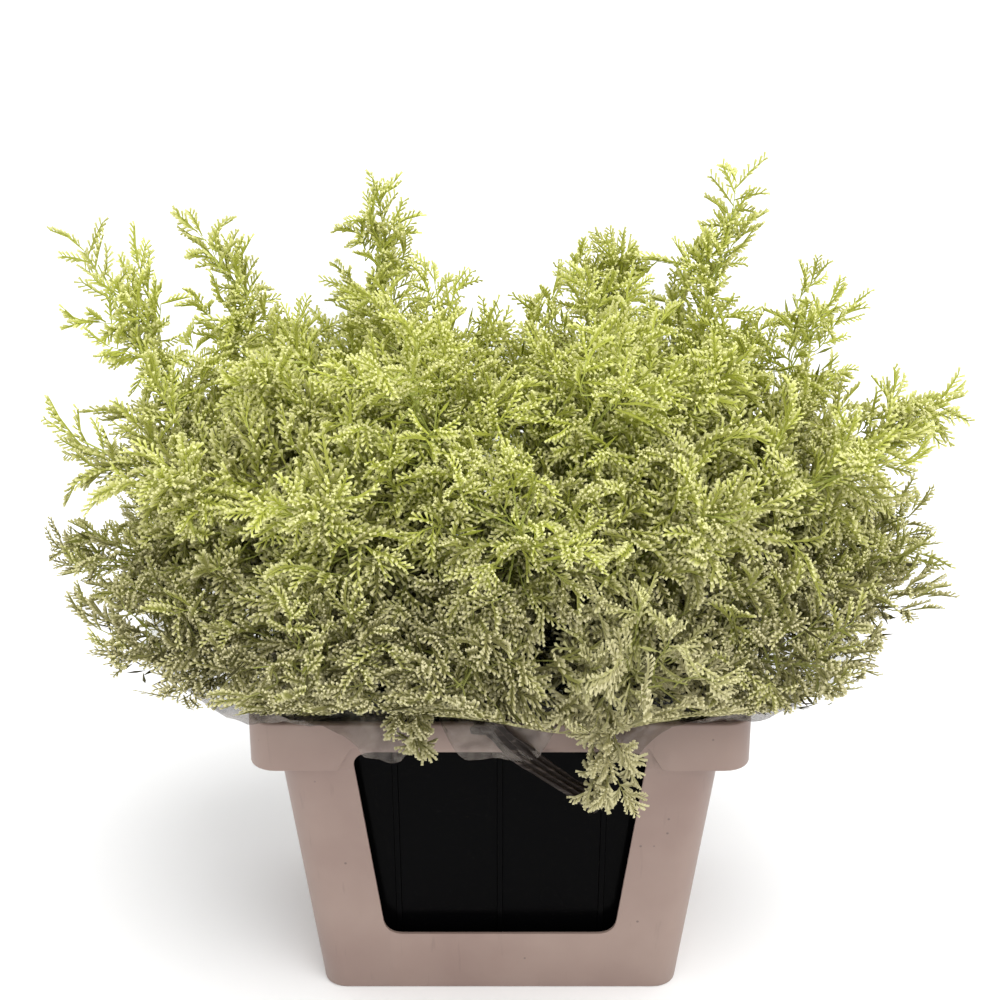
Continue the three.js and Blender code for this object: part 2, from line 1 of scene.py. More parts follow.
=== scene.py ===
import math
import bmesh
import bpy
import numpy as np
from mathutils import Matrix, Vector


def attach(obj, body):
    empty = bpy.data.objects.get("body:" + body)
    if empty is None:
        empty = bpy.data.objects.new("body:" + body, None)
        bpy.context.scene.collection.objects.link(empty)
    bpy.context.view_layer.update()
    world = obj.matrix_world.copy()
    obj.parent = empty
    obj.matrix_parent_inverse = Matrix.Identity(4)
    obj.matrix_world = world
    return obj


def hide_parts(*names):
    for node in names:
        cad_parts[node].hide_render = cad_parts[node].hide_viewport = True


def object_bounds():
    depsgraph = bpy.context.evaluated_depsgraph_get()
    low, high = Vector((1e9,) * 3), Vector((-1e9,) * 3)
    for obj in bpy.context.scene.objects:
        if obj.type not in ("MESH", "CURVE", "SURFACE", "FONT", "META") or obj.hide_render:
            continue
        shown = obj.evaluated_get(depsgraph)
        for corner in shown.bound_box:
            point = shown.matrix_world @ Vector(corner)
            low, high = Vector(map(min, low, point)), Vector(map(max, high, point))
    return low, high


# Dried statice in clear film sleeves, standing in a black bucket inside a windowed flower crate.
# The frame's solids give every place: sprays, sleeves, bucket and crate are dressed where they stand.

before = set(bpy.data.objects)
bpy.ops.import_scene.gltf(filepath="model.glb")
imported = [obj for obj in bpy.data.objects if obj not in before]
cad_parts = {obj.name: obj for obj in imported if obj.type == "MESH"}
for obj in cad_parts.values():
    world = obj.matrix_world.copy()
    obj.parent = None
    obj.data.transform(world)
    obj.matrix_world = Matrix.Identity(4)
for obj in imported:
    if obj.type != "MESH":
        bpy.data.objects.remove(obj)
cadLow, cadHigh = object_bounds()
print("frame loaded:", len(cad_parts), "nodes")

mm = 0.001
golden = math.pi * (3 - math.sqrt(5))


# Camera

view = {"place": (0, -1.342, 0.891), "pitchDown": 20, "lens": 61.2, "sensor": 36}


def placeCamera():
    lens = bpy.data.cameras.new("camera")
    lens.sensor_width = view["sensor"]
    lens.lens = view["lens"]
    eye = bpy.data.objects.new("camera", lens)
    eye.location = view["place"]
    eye.rotation_euler = (math.radians(90 - view["pitchDown"]), 0, 0)
    bpy.context.scene.collection.objects.link(eye)
    bpy.context.scene.camera = eye


placeCamera()


# Small tools for arrays of points and directions; the last axis is always x, y, z

def unit(v):
    return v / np.maximum(np.linalg.norm(v, axis=-1, keepdims=True), 1e-9)


def dot(a, b):
    return (a * b).sum(-1, keepdims=True)


def squareTo(way, reference):
    # two unit vectors square to way: the reference made square to it, and their cross product
    first = unit(reference - dot(reference, way) * way)
    return first, np.cross(way, first)


def turned(first, second, turn):
    return np.cos(turn) * first + np.sin(turn) * second


def leaning(way, first, second, tilt, roll):
    # way tilted by an angle towards the direction that roll picks round it
    return turned(way, turned(first, second, np.asarray(roll)[..., None]), np.asarray(tilt)[..., None])


def bezier(points, t):
    # quadratic curve through the first and last of three points: (1-t)^2 a + 2t(1-t) b + t^2 c
    a, b, c = points
    t = t[..., None]
    return (1 - t) ** 2 * a + 2 * t * (1 - t) * b + t ** 2 * c


def bezierWay(points, t):
    # that curve's direction
    a, b, c = points
    t = t[..., None]
    return unit((1 - t) * (b - a) + t * (c - b))


def around(first, second, sides, start=0.0):
    # directions at even turns, on a new axis before x, y, z
    turn = np.arange(sides) / sides * 2 * np.pi + start
    return turned(first[..., None, :], second[..., None, :], turn[:, None])


def softFloor(value, low, blend):
    # stays value well above low, and never falls under it: low + blend * log(1 + e^((value - low) / blend))
    return low + blend * np.logaddexp(0, (value - low) / blend)


# Meshes

class Pile:
    # gathers vertices, triangles and their colour data, with its painted shade, until one mesh is made of
    # them
    def __init__(self):
        self.points, self.faces, self.finish, self.count = [], [], [], 0

    def add(self, points, faces, finish):
        self.points.append(points.reshape(-1, 3))
        self.faces.append(faces.reshape(-1, 3) + self.count)
        self.finish.append(finish.reshape(-1, 4))
        self.count += points.size // 3

    def joined(self):
        return np.concatenate(self.points), np.concatenate(self.faces), np.concatenate(self.finish)


def meshObject(name, points, faces, smooth=True, finish=None):
    mesh = bpy.data.meshes.new(name)
    sides = faces.shape[1]
    mesh.vertices.add(len(points))
    mesh.vertices.foreach_set("co", (points * mm).astype(np.float32).ravel())
    mesh.loops.add(faces.size)
    mesh.loops.foreach_set("vertex_index", faces.astype(np.int32).ravel())
    mesh.polygons.add(len(faces))
    mesh.polygons.foreach_set("loop_start", np.arange(0, faces.size, sides, dtype=np.int32))
    if finish is not None:
        # per vertex: tone, place along a cup, painted shade, and cup or stem
        layer = mesh.attributes.new("finish", "FLOAT_COLOR", "POINT")
        layer.data.foreach_set("color", finish.astype(np.float32).ravel())
    mesh.update(calc_edges=True)
    mesh.polygons.foreach_set("use_smooth", np.full(len(faces), smooth))
    thing = bpy.data.objects.new(name, mesh)
    bpy.context.scene.collection.objects.link(thing)
    return thing


def gridFaces(rows, columns, closed):
    # quads of a grid stored row by row, wrapped round when closed
    last = columns if closed else columns - 1
    r, c = np.meshgrid(np.arange(rows - 1), np.arange(last), indexing="ij")
    n = (c + 1) % columns
    corners = (r * columns + c, r * columns + n, (r + 1) * columns + n, (r + 1) * columns + c)
    return np.stack(corners, -1).reshape(-1, 4)


def tubeFaces(rings, sides):
    # triangles of a closed tube: its walls, and a fan over each end
    quads = gridFaces(rings, sides, True)
    fan = np.arange(1, sides - 1)
    foot = np.stack([0 * fan, fan + 1, fan], -1)
    top = np.stack([0 * fan, fan, fan + 1], -1) + (rings - 1) * sides
    return np.concatenate([quads[:, [0, 1, 2]], quads[:, [0, 2, 3]], foot, top])


# How the crate, the film and the sprays stand: the rules of the solids, in millimetres

draft = math.tan(math.radians(6.8))  # of the crate's walls
crate = {
    "height": 270, "rimX": 200, "rimY": 150, "rimCorner": 22, "bandHeight": 42, "bandOverWindow": 23,
    "bandStep": (117.5, 129), "wallX": 178, "wallY": 142, "wallCorner": 20, "wall": 3, "base": 4,
    "edge": 1.6, "lipEdge": 2.2, "groove": (3.0, 1.5, 1.3), "spacing": 6.0, "cornerSteps": 7,
}
windows = {
    "sill": 58, "topDrop": 28, "endTopDrop": 54, "longHalf": 118, "endHalf": 66, "corner": 15, "bevel": 0.7,
}
sleeve = {
    "mouthX": 157, "mouthY": 120, "columns": 3, "rows": 2, "footScale": 0.8, "apart": 1.6, "corner": 22,
    "footZ": 7.1, "film": 0.3, "spacing": 5.2, "rowSteps": (3, 2, 6, 8, 9),
    "crease": 0.024, "creaseWidths": (70, 48, 33, 24, 17, 13, 10),
}
spill = {  # the film's slopes under the foliage, and where foliage falls over the rim in front
    "start": 6, "slope": 0.52, "cornerY": 100, "cornerSlope": 0.35,
    "backFoot": 15, "backSlope": 0.42, "backTips": 14,
    "hangY": -158, "fall": 1.6, "fallMost": 15, "fallX": 55, "fallSpread": 60,
    "droop": 0.004, "droopFrom": 30, "droopUnder": 390, "droopFade": 60,
}
rings = [  # the mound's sprays, ring by ring from the rim to the top
    {"count": 14, "phase": 0.35, "reach": (362, 258), "tipZ": 350, "base": (0.64, 0.64), "baseZ": 322},
    {"count": 13, "phase": 0.85, "reach": (342, 240), "tipZ": 484, "base": (0.6, 0.47), "baseZ": 398},
    {"count": 8, "phase": 0.5, "reach": (222, 144), "tipZ": 560, "base": (0.47, 0.5), "baseZ": 440},
    {"count": 2, "phase": 0, "reach": (84, 40), "tipZ": 582, "base": (0.45, 0.45), "baseZ": 452},
]
mound = {
    "width": 80, "boxiness": 0.86, "turnScatter": 0.25, "reachScatter": 0.07, "liftScatter": 26,
    "elbowRoom": 68,
}
tallSprays = [  # tip, lean, length and width
    ((-338, 40, 608), (-0.5, 0.05, 1), 200, 52),
    ((-246, 108, 618), (-0.22, 0.15, 1), 190, 50),
    ((-110, 96, 654), (-0.1, 0.1, 1), 190, 48),
    ((104, 122, 624), (0.08, 0.12, 1), 180, 50),
    ((204, 92, 652), (0.26, 0.05, 1), 200, 50),
    ((362, -42, 518), (1, -0.05, 0.75), 160, 54),
    ((-376, -46, 362), (-1, -0.05, 0.02), 130, 50),
    ((272, 36, 566), (0.5, 0.1, 1), 150, 54),
]
hangingSprays = [
    ((-62, -180, 258), (0.04, 0.02, -1), 72, 26),
    ((80, -182, 204), (-0.05, 0.06, -1), 92, 30),
]
crownSeat = 0.45  # the widest place, as a share of a crown's length
slenderFrom = 150  # crowns longer than this taper to a point
evenSteps = (0.754877666, 0.569840291)  # one over the plastic number, and its square


def scatter(index, channel):
    # a number from -0.5 to 0.5, spread evenly over indices and channels
    turn = index * evenSteps[0] + channel * evenSteps[1]
    return turn - math.floor(turn) - 0.5


def hanging(x):
    # 1 where the front foliage hangs over the rim, fading to 0 on both sides as a bell curve
    return np.exp(-((x - spill["fallX"]) / spill["fallSpread"]) ** 2)


def floorUnder(x, y):
    # height of the film under spilling foliage: it rises outside the rim, and towards the back
    out = np.hypot(np.maximum(0, np.abs(x) - crate["rimX"]), np.maximum(0, np.abs(y) - crate["rimY"]))
    back = spill["cornerSlope"] * np.maximum(0, y - spill["cornerY"])
    front = np.clip(spill["fall"] * (spill["hangY"] - y), 0, spill["fallMost"]) * hanging(x)
    return crate["height"] + spill["start"] + spill["slope"] * out + back - front


def backFilm(z):
    # how far back the film at the back stands at a height
    return crate["rimY"] + (z - crate["height"] - spill["backFoot"]) * spill["backSlope"]


def oneSpray(name, tip, base, width):
    # its foot is the middle of its solid's lowest points, and its mouth is where it leaves the crate
    tip, base = np.array(tip, float), np.array(base, float)
    axis = unit(tip - base)
    feet = nodePoints(name)
    foot = feet[feet[:, 2] < feet[:, 2].min() + 0.5].mean(0)
    mouth = foot / sleeve["footScale"]
    mouth[2] = crate["height"]
    return {
        "name": name, "tip": tip, "base": base, "axis": axis, "length": np.linalg.norm(tip - base),
        "width": width, "hangs": axis[2] < -0.3, "foot": foot, "mouth": mouth,
        "centre": base + (tip - base) * crownSeat,
    }


def nodePoints(name):
    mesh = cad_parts[name].data
    points = np.empty(len(mesh.vertices) * 3, np.float32)
    mesh.vertices.foreach_get("co", points)
    return points.reshape(-1, 3).astype(float) / mm


def standingOut(word, rows):
    # sprays placed by their tips, each leaning its own way
    made = []
    for k, (tip, lean, length, width) in enumerate(rows):
        base = np.array(tip, float) - unit(np.array(lean, float)) * length
        made.append(oneSpray(f"{word}_{k + 1:02d}", tip, base, width))
    return made


def layOutSprays():
    # rings of sprays round a boxy ellipse, without those that would crowd a spray that stands out
    standOut = standingOut("tall_spray", tallSprays) + standingOut("hanging_spray", hangingSprays)
    inMound = []
    for r, ring in enumerate(rings):
        for k in range(ring["count"]):
            turn = (k + ring["phase"] + mound["turnScatter"] * scatter(k, r)) / ring["count"] * 2 * math.pi
            way = np.array([math.cos(turn), math.sin(turn)])
            way = np.sign(way) * np.abs(way) ** mound["boxiness"]
            reach = np.array(ring["reach"]) * (1 + mound["reachScatter"] * scatter(k, r + 3))
            lift = mound["liftScatter"] * scatter(k, r + 7)
            tip = np.array([*(reach * way), ring["tipZ"] + lift])
            tip[1] = min(tip[1], backFilm(tip[2]) - spill["backTips"])
            base = np.array([tip[0] * ring["base"][0], tip[1] * ring["base"][1], ring["baseZ"] + lift / 2])
            centre = base + (tip - base) * crownSeat
            crowds = [np.linalg.norm(other["centre"] - centre) for other in standOut if not other["hangs"]]
            if min(crowds) >= mound["elbowRoom"]:
                inMound.append(oneSpray(f"spray_{len(inMound) + 1:02d}", tip, base, mound["width"]))
    return inMound + standOut


sprays = layOutSprays()
print("sprays laid out:", len(sprays))


# Statice: stems, boughs, twigs, and one-sided spikes of papery cups

crown = {
    "foot": 0.6, "blunt": 0.3, "slender": 0.9,  # powers that shape its outline
    "innerFans": 8, "innerDepth": 0.6, "fewestFans": 4, "overlap": 66, "leastRoom": 12, "stack": (1, 16),
    "sprigs": 7, "sprigRise": 0.2, "stretch": 0.1,
    # a dark filler in each crown's depth, painted with shade
    "shadeFiller": 50, "shadeFillerLength": 24, "shadeFillerRadius": 1.5, "shadeFillerShade": 0.5,
    "paleX": (-10, 175), "paleY": -175, "paleZ": 420, "paleness": 0.72,
}
dense = {  # the mound's crowns
    "fans": 51, "spikes": 7, "rib": 28, "opening": (0.6, 1.25), "reach": (0.75, 1.28), "tilt": 0.4,
    "fat": 1.0, "long": 0.92,
}
airy = {  # crowns that stand out of it
    "fans": 29, "spikes": 9, "rib": 50, "opening": (0.6, 0.95), "reach": (0.9, 1.6), "tilt": 0.25,
    "fat": 1.3, "long": 1.08,
}
drooping = {  # crowns that hang over the rim
    "fans": 60, "spikes": 7, "rib": 24, "opening": (0.6, 1.1), "reach": (0.7, 1.1), "tilt": 0.4,
    "fat": 0.95, "long": 0.72,
}
undergrowth = {  # side twigs under a crown, with their reach in millimetres
    "fans": 13, "spikes": 6, "rib": 28, "opening": (0.7, 1.25), "reach": (24, 62), "rise": 26,
    "fat": 1.0, "long": 0.95,
}
twig = {"boughSteps": 4, "bough": (0.85, 0.5), "ribSteps": 3, "rib": (0.6, 0.4), "finish": [[0.5, 0.3, 0, 0]]}
fanForm = {
    "ribLengths": (0.8, 1.2), "pull": 0.45, "sway": 0.22, "swayOut": 0.12, "flatScatter": 0.8,
    "roll": (-0.9, 1.2), "openScatter": 0.16, "aimScatter": 0.33, "closing": 2.2, "lengths": (0.75, 1.12),
    "ownTone": 0.4,
}
crownForm = {  # how its fans stand: shares of the crown's length, and angles
    "run": 0.86, "power": 0.75, "widest": 0.94, "innerDrop": 0.3, "rootLeast": 0.02, "rootUnder": (0.2, 0.7),
    "footTilt": 0.75, "tiltScatter": 0.2, "stretchFrom": 0.5, "stretchRun": 0.4,
}
stemForm = {
    "steps": 7, "pull": (0.4, 0.35), "hangingPull": (0.75, 0.45), "thick": (1.9, 1.3),
    "inCrown": (0.3, 0.6, 0.88), "thickInCrown": (1.0, 0.75, 0.5),
}
spike = {
    "shortest": 23, "longest": 36, "bend": 0.7, "rodEnd": 0.96, "cupsFrom": 0.1, "cupsRun": 0.88,
    "cupLength": 5.8, "cupRadius": 1.25, "cupSunk": 0.25, "lean": 0.66, "spread": 0.95, "jitter": 0.16,
    "taper": (0.22, 0.54, 0.6),
}
outer = {"cups": 11, "rod": (0.6, 1.4, 0.6), "fat": 1.0, "from": 0.84, "shade": 0.0}  # at the mound's surface
middle = {"cups": 9, "rod": (0.6, 1.5, 0.6), "fat": 1.2, "from": 0.64, "shade": 0.0}
# inner spikes are painted with shade, darker where the mound is deep
inner = {"cups": 5, "rod": (1.4, 0.8), "fat": 1.7, "from": -1.0, "shade": 0.28}  # coarser, where little shows
moundForm = {"centre": (0, 0, 300), "half": (345, 240, 320), "power": 2.4, "heart": (0, 60, 240)}
clearance = {  # from the film below, the film at the back and the solids' box, each with its softness
    "film": (1, 3.0), "back": (4, 5.0), "box": (22, 4.0), "frontShare": 0.8,
}


def widthAt(spray, share):
    # half the crown's width: it widens as a power up to its seat, then closes as a blunt dome or a cone
    power = crown["slender"] if spray["length"] > slenderFrom else crown["blunt"]
    under = np.maximum(share / crownSeat, 0) ** crown["foot"]
    over = np.maximum((1 - share) / (1 - crownSeat), 0) ** power
    return spray["width"] * np.where(share < crownSeat, under, over)


def outwardness(points):
    # 0 at the mound's middle and 1 at its surface: (sum of (|coordinate| / half size)^power)^(1 / power)
    scaled = np.abs(points - moundForm["centre"]) / moundForm["half"]
    return (scaled ** moundForm["power"]).sum(-1) ** (1 / moundForm["power"])


def addTubes(pile, lines, radii, sides, reference, finish):
    # lines: curves x stations x 3. Each ring is the station plus radius times cos and sin of even turns
    curves, stations, _ = lines.shape
    way = unit(np.gradient(lines, axis=1))
    ring = around(*squareTo(way, reference), sides)
    points = lines[:, :, None, :] + radii[..., None, None] * ring
    faces = tubeFaces(stations, sides)[None] + (np.arange(curves) * stations * sides)[:, None, None]
    pile.add(points, faces, np.broadcast_to(finish[:, None, None, :], (curves, stations, sides, 4)))


def addTwigs(pile, curve, steps, radii, reference):
    # one three-sided twig along each quadratic curve
    count = len(curve[0])
    t = np.broadcast_to(np.linspace(0, 1, steps)[:, None], (steps, count))
    lines = np.moveaxis(bezier(curve, t), 0, 1)
    thick = np.broadcast_to(np.linspace(*radii, steps), (count, steps))
    addTubes(pile, lines, thick, 3, reference, np.repeat(np.array(twig["finish"]), count, 0))


def addSpikes(pile, root, way, up, length, tone, detail, fat):
    # Each spike is an arc that bends away from up: root + L (sin(bt)/b way - (1 - cos(bt))/b up).
    # Its cups lean forwards and to the sides in two ranks, as the teeth of a comb.
    # Their size along it is sin(pi (a + b t))^c, with spike's taper as a, b and c.
    count, cups = len(root), detail["cups"]
    if count == 0:
        return
    bend = (spike["bend"] * (0.4 + 1.2 * tone[:, 1]))[:, None, None]
    side = np.cross(way, up)[:, None]
    way, up = way[:, None], up[:, None]

    def arc(t):
        run = bend * t[..., None]
        place = root[:, None] + length[:, None, None] * (np.sin(run) * way - (1 - np.cos(run)) * up) / bend
        return place, np.cos(run) * way - np.sin(run) * up, np.sin(run) * way + np.cos(run) * up

    stations = len(detail["rod"])
    rod, _, rodUp = arc(np.broadcast_to(np.linspace(0, spike["rodEnd"], stations), (count, stations)))
    thick = np.broadcast_to(detail["rod"], (count, stations))
    stalk = np.stack([tone[:, 0], np.full(count, 0.3), np.full(count, detail["shade"]), np.ones(count)], -1)
    addTubes(pile, rod, thick, 3, rodUp, stalk)

    rank = np.arange(cups)
    t = np.broadcast_to(spike["cupsFrom"] + spike["cupsRun"] * (rank + 0.5) / cups, (count, cups))
    base, along, above = arc(t)
    spread = np.where(rank % 2, 1.0, -1.0)[None, :] * spike["spread"]
    jitter = spike["jitter"] * np.sin(7.1 * rank[None, :] + 40 * tone[:, :1])
    aim = leaning(along, above, np.broadcast_to(side, along.shape), spike["lean"] + jitter, spread + jitter)
    begin, run, power = spike["taper"]
    size = np.sin(np.pi * (begin + run * t)) ** power * detail["fat"] * fat
    depth = (spike["cupLength"] * size * (0.9 + 0.2 * tone[:, 2:3]))[..., None]
    wide = (spike["cupRadius"] * (0.5 + 0.5 * size))[..., None, None]
    addCups(pile, base, aim, above, depth, wide, tone[:, 0], detail["shade"])


def addCups(pile, base, aim, above, depth, wide, tone, shade):
    # three-sided and blunt: a point sunk in the rod, and a wider ring at the cup's depth along its aim
    sunk = (base - spike["cupSunk"] * depth * aim)[:, :, None]
    ring = around(*squareTo(aim, above), 3, 0.5)
    mouth = base[:, :, None] + depth[..., None] * aim[:, :, None] + wide * ring
    points = np.concatenate([sunk, mouth], 2)
    count, cups, corners, _ = points.shape
    faces = np.array([[0, 2, 1], [0, 3, 2], [0, 1, 3], [1, 2, 3]])
    finish = np.zeros((count, cups, corners, 4))
    finish[..., 0] = tone[:, None, None]
    finish[..., 1:, 1] = 1
    finish[..., 2] = shade
    finish[..., 3] = 1
    pile.add(points, faces[None] + (np.arange(count * cups) * corners)[:, None, None], finish)


def mainStem(spray):
    # foot, mouth, then a cubic bend into the crown's axis
    rise = unit(spray["mouth"] - spray["foot"])
    span = np.linalg.norm(spray["base"] - spray["mouth"])
    pull = stemForm["hangingPull"] if spray["hangs"] else stemForm["pull"]
    knots = [
        spray["mouth"], spray["mouth"] + rise * span * pull[0],
        spray["base"] - spray["axis"] * span * pull[1], spray["base"],
    ]
    t = np.linspace(0, 1, stemForm["steps"])[:, None]
    shares = ((1 - t) ** 3, 3 * t * (1 - t) ** 2, 3 * t ** 2 * (1 - t), t ** 3)
    bent = sum(share * knot for share, knot in zip(shares, knots))
    inCrown = spray["base"] + spray["axis"] * spray["length"] * np.array(stemForm["inCrown"])[:, None]
    thick = np.concatenate([np.linspace(*stemForm["thick"], stemForm["steps"] + 1), stemForm["thickInCrown"]])
    return np.concatenate([spray["foot"][None], bent, inCrown]), thick


def roomTowards(spray, start, way):
    # How far a bough may run before it is well inside a neighbour's share of the mound.
    # The share ends half way to the neighbour, and boughs may pass that by the overlap.
    room = np.full(len(start), 1e3)
    if not spray["name"].startswith("spray"):
        return room
    for other in sprays:
        if other is spray or other["hangs"]:
            continue
        apart = other["centre"] - spray["centre"]
        distance = np.linalg.norm(apart)
        rate = way @ (apart / distance)
        gap = distance / 2 - (start - spray["centre"]) @ (apart / distance) + crown["overlap"]
        room = np.where(rate > 0.05, np.minimum(room, gap / np.maximum(rate, 0.05)), room)
    return np.maximum(room, crown["leastRoom"])


def addShadeFiller(pile, spray, draw, side, other, size):
    # a filler in a crown's depth, painted dark with shade so that its gaps read as shade: three-sided
    # spindles, pointed at both ends
    count = round(crown["shadeFiller"] * size)
    share = draw.uniform(0.1, 0.85, count)
    turn = draw.uniform(0, 2 * np.pi, count)
    out = turned(side, other, turn[:, None])
    radius = widthAt(spray, share) * draw.uniform(0.4, 0.75, count)
    middle = spray["base"] + spray["axis"] * spray["length"] * share[:, None] + out * radius[:, None]
    way = unit(spray["axis"] + out * 0.8 + 0.8 * draw.standard_normal((count, 3)))
    ring = around(*squareTo(way, out + 0.01), 3)
    half = way[:, None] * crown["shadeFillerLength"] / 2
    middle = middle[:, None]
    points = np.concatenate([middle - half, middle + crown["shadeFillerRadius"] * ring, middle + half], 1)
    one = np.array([[0, 2, 1], [0, 3, 2], [0, 1, 3], [4, 1, 2], [4, 2, 3], [4, 3, 1]])
    finish = np.zeros((count, 5, 4))
    finish[..., 0] = draw.uniform(0, 1, (count, 1))
    finish[..., 2] = crown["shadeFillerShade"]
    finish[..., 3] = 1
    pile.add(points, one[None] + (np.arange(count) * 5)[:, None, None], finish)


def crownFans(spray, draw, side, other, style, fans, depth):
    # Fans end on the crown's outline, spread round it by the golden angle and closer towards its top.
    # The first few are sprigs that stand above it.
    axis, length, base = spray["axis"], spray["length"], spray["base"]
    k = np.arange(fans)
    sprigs = crown["sprigRise"] * (k < crown["sprigs"]) * draw.uniform(0, 1, fans)
    share = 1 - crownForm["run"] * ((k + 0.4) / fans) ** crownForm["power"] + sprigs
    turn = k * golden + draw.uniform(0, 6)
    out = turned(side, other, turn[:, None])
    width = widthAt(spray, np.minimum(share, crownForm["widest"]))
    radius = width * depth * draw.uniform(*style["reach"], fans)
    most = crownForm["stretchRun"]
    upright = np.clip(axis[2] - crownForm["stretchFrom"], 0, most) / most
    drop = crownForm["innerDrop"]
    share = share * (1 - drop + drop * depth) * (1 + crown["stretch"] * upright * (style is dense))
    end = base + axis * length * share[:, None] + out * radius[:, None]
    under, steep = crownForm["rootUnder"]
    low = np.maximum(crownForm["rootLeast"], share - under - steep * radius / length)
    root = base + axis * length * low[:, None]
    way = unit(end - root)
    run = np.minimum(np.linalg.norm(end - root, axis=-1), roomTowards(spray, root, way))
    tilt = style["tilt"] + crownForm["footTilt"] * (1 - share)
    tilt = (tilt + crownForm["tiltScatter"] * draw.standard_normal(fans))[:, None]
    return root, root + way * run[:, None], turned(axis, out, tilt), out


def alongLine(line, t):
    # points on a polyline, whose corners are at 0, 1, 2 and so on
    return np.stack([np.interp(t, np.arange(len(line)), part) for part in line.T], -1)


def stemFans(draw, stem, fans):
    # side twigs leave the stem between its sleeve's mouth and its crown, further out the higher they stand
    t = np.linspace(0.1, 1, fans)
    bend = (stemForm["steps"] - 1) * t
    place = alongLine(stem, 1 + bend)
    way = unit(alongLine(stem, 1.5 + bend) - place)
    first, second = squareTo(way, np.array([0.3, 1.0, 0.2]))
    turn = (np.arange(fans) * golden + draw.uniform(0, 6))[:, None]
    out = turned(first, second, turn)
    reach = (draw.uniform(*undergrowth["reach"], fans) * (0.5 + 0.5 * t))[:, None]
    end = place + out * reach + way * undergrowth["rise"]
    return place, end, unit(way + out * draw.uniform(0.4, 1.3, (fans, 1))), out


def restOnFilm(draw, place, heading, long):
    # spikes that would reach the film are turned along it and stacked up from it, whole
    tip = place + heading * long[:, None]
    start, end = clearOfFilm(place), clearOfFilm(tip)
    stack = draw.uniform(*crown["stack"], len(place)) * (np.linalg.norm(end - tip, axis=-1) > 2)
    up = np.array([0, 0, 1.0])
    return start + stack[:, None] * up, unit(end - start + 0.3 * stack[:, None] * up)


def addFans(pile, draw, axis, style, size, root, end, facing, out):
    # a bough from each root to a bent rib, with a fan of spikes on it whose furthest tip is at end
    fans = len(root)
    longness = draw.uniform(spike["shortest"], spike["longest"], fans) * size ** 0.3 * style["long"]
    ribLength = style["rib"] * size ** 0.5 * draw.uniform(*fanForm["ribLengths"], fans)[:, None]
    start = end - facing * (ribLength + 0.85 * longness[:, None])
    reach = np.linalg.norm(start - root, axis=-1, keepdims=True)
    bough = (root, start - facing * reach * fanForm["pull"], start)
    addTwigs(pile, bough, twig["boughSteps"], twig["bough"], axis)
    sway = fanForm["sway"] * draw.standard_normal((fans, 3)) + fanForm["swayOut"] * out
    rib = (start, start + facing * ribLength * 0.5, start + unit(facing + sway) * ribLength)
    addTwigs(pile, rib, twig["ribSteps"], twig["rib"], axis)
    addFanSpikes(pile, draw, axis, style, rib, out, longness)


def addFanSpikes(pile, draw, axis, style, rib, out, longness):
    # Spikes leave a rib to both sides, wide at its foot and closing to its end. The fan's face looks away
    # from the mound's heart, and spikes near the mound's surface have more detail.
    fans, each = len(out), style["spikes"]
    m = np.arange(each) / (each - 1)
    t = np.broadcast_to(0.05 + 0.95 * m, (fans, each)).T
    place = np.moveaxis(bezier(rib, t), 0, 1)
    way = np.moveaxis(bezierWay(rib, t), 0, 1)
    flat = (out + 0.3 * axis + fanForm["flatScatter"] * draw.standard_normal((fans, 3)))[:, None]
    face, across = squareTo(way, flat)
    face = face * np.where(dot(face, place - moundForm["heart"]) < 0, -1.0, 1.0)
    across = across * np.where(np.arange(each) % 2, 1.0, -1.0)[:, None]
    opening = draw.uniform(*style["opening"], (fans, 1)) * (1 - m ** fanForm["closing"])
    opening = (opening + fanForm["openScatter"] * draw.standard_normal((fans, each)))[..., None]
    heading = turned(way, across, opening) + fanForm["aimScatter"] * draw.standard_normal((fans, each, 3))
    heading = unit(heading)
    inwards = np.sin(opening) * way - np.cos(opening) * across
    roll = draw.uniform(*fanForm["roll"], (fans, each, 1))
    up, _ = squareTo(heading, turned(face, inwards, roll))
    own, shared = fanForm["ownTone"], 1 - fanForm["ownTone"]
    tone = np.concatenate([
        shared * draw.uniform(0, 1, (fans, 1, 1)) + own * draw.uniform(0, 1, (fans, each, 1)),
        draw.uniform(0, 1, (fans, each, 2)),
    ], -1)
    long = longness[:, None] * (0.74 + 0.3 * np.sin(np.pi * (0.15 + 0.6 * m)))
    long = (long * draw.uniform(*fanForm["lengths"], (fans, each))).ravel()
    place, heading, up, tone = (part.reshape(fans * each, -1) for part in (place, heading, up, tone))
    if style is not drooping:
        place, heading = restOnFilm(draw, place, heading, long)
        up = squareTo(heading, up)[0]
    shown = outwardness(place + heading * long[:, None] * 0.6)
    above = np.inf
    for detail in (outer, middle, inner):
        those = (shown < above) & (shown >= detail["from"])
        parts = [part[those] for part in (place, heading, up, long, tone)]
        addSpikes(pile, *parts, detail, style["fat"])
        above = detail["from"]


def styleOf(spray):
    if spray["hangs"]:
        return drooping
    return airy if spray["length"] > slenderFrom else dense


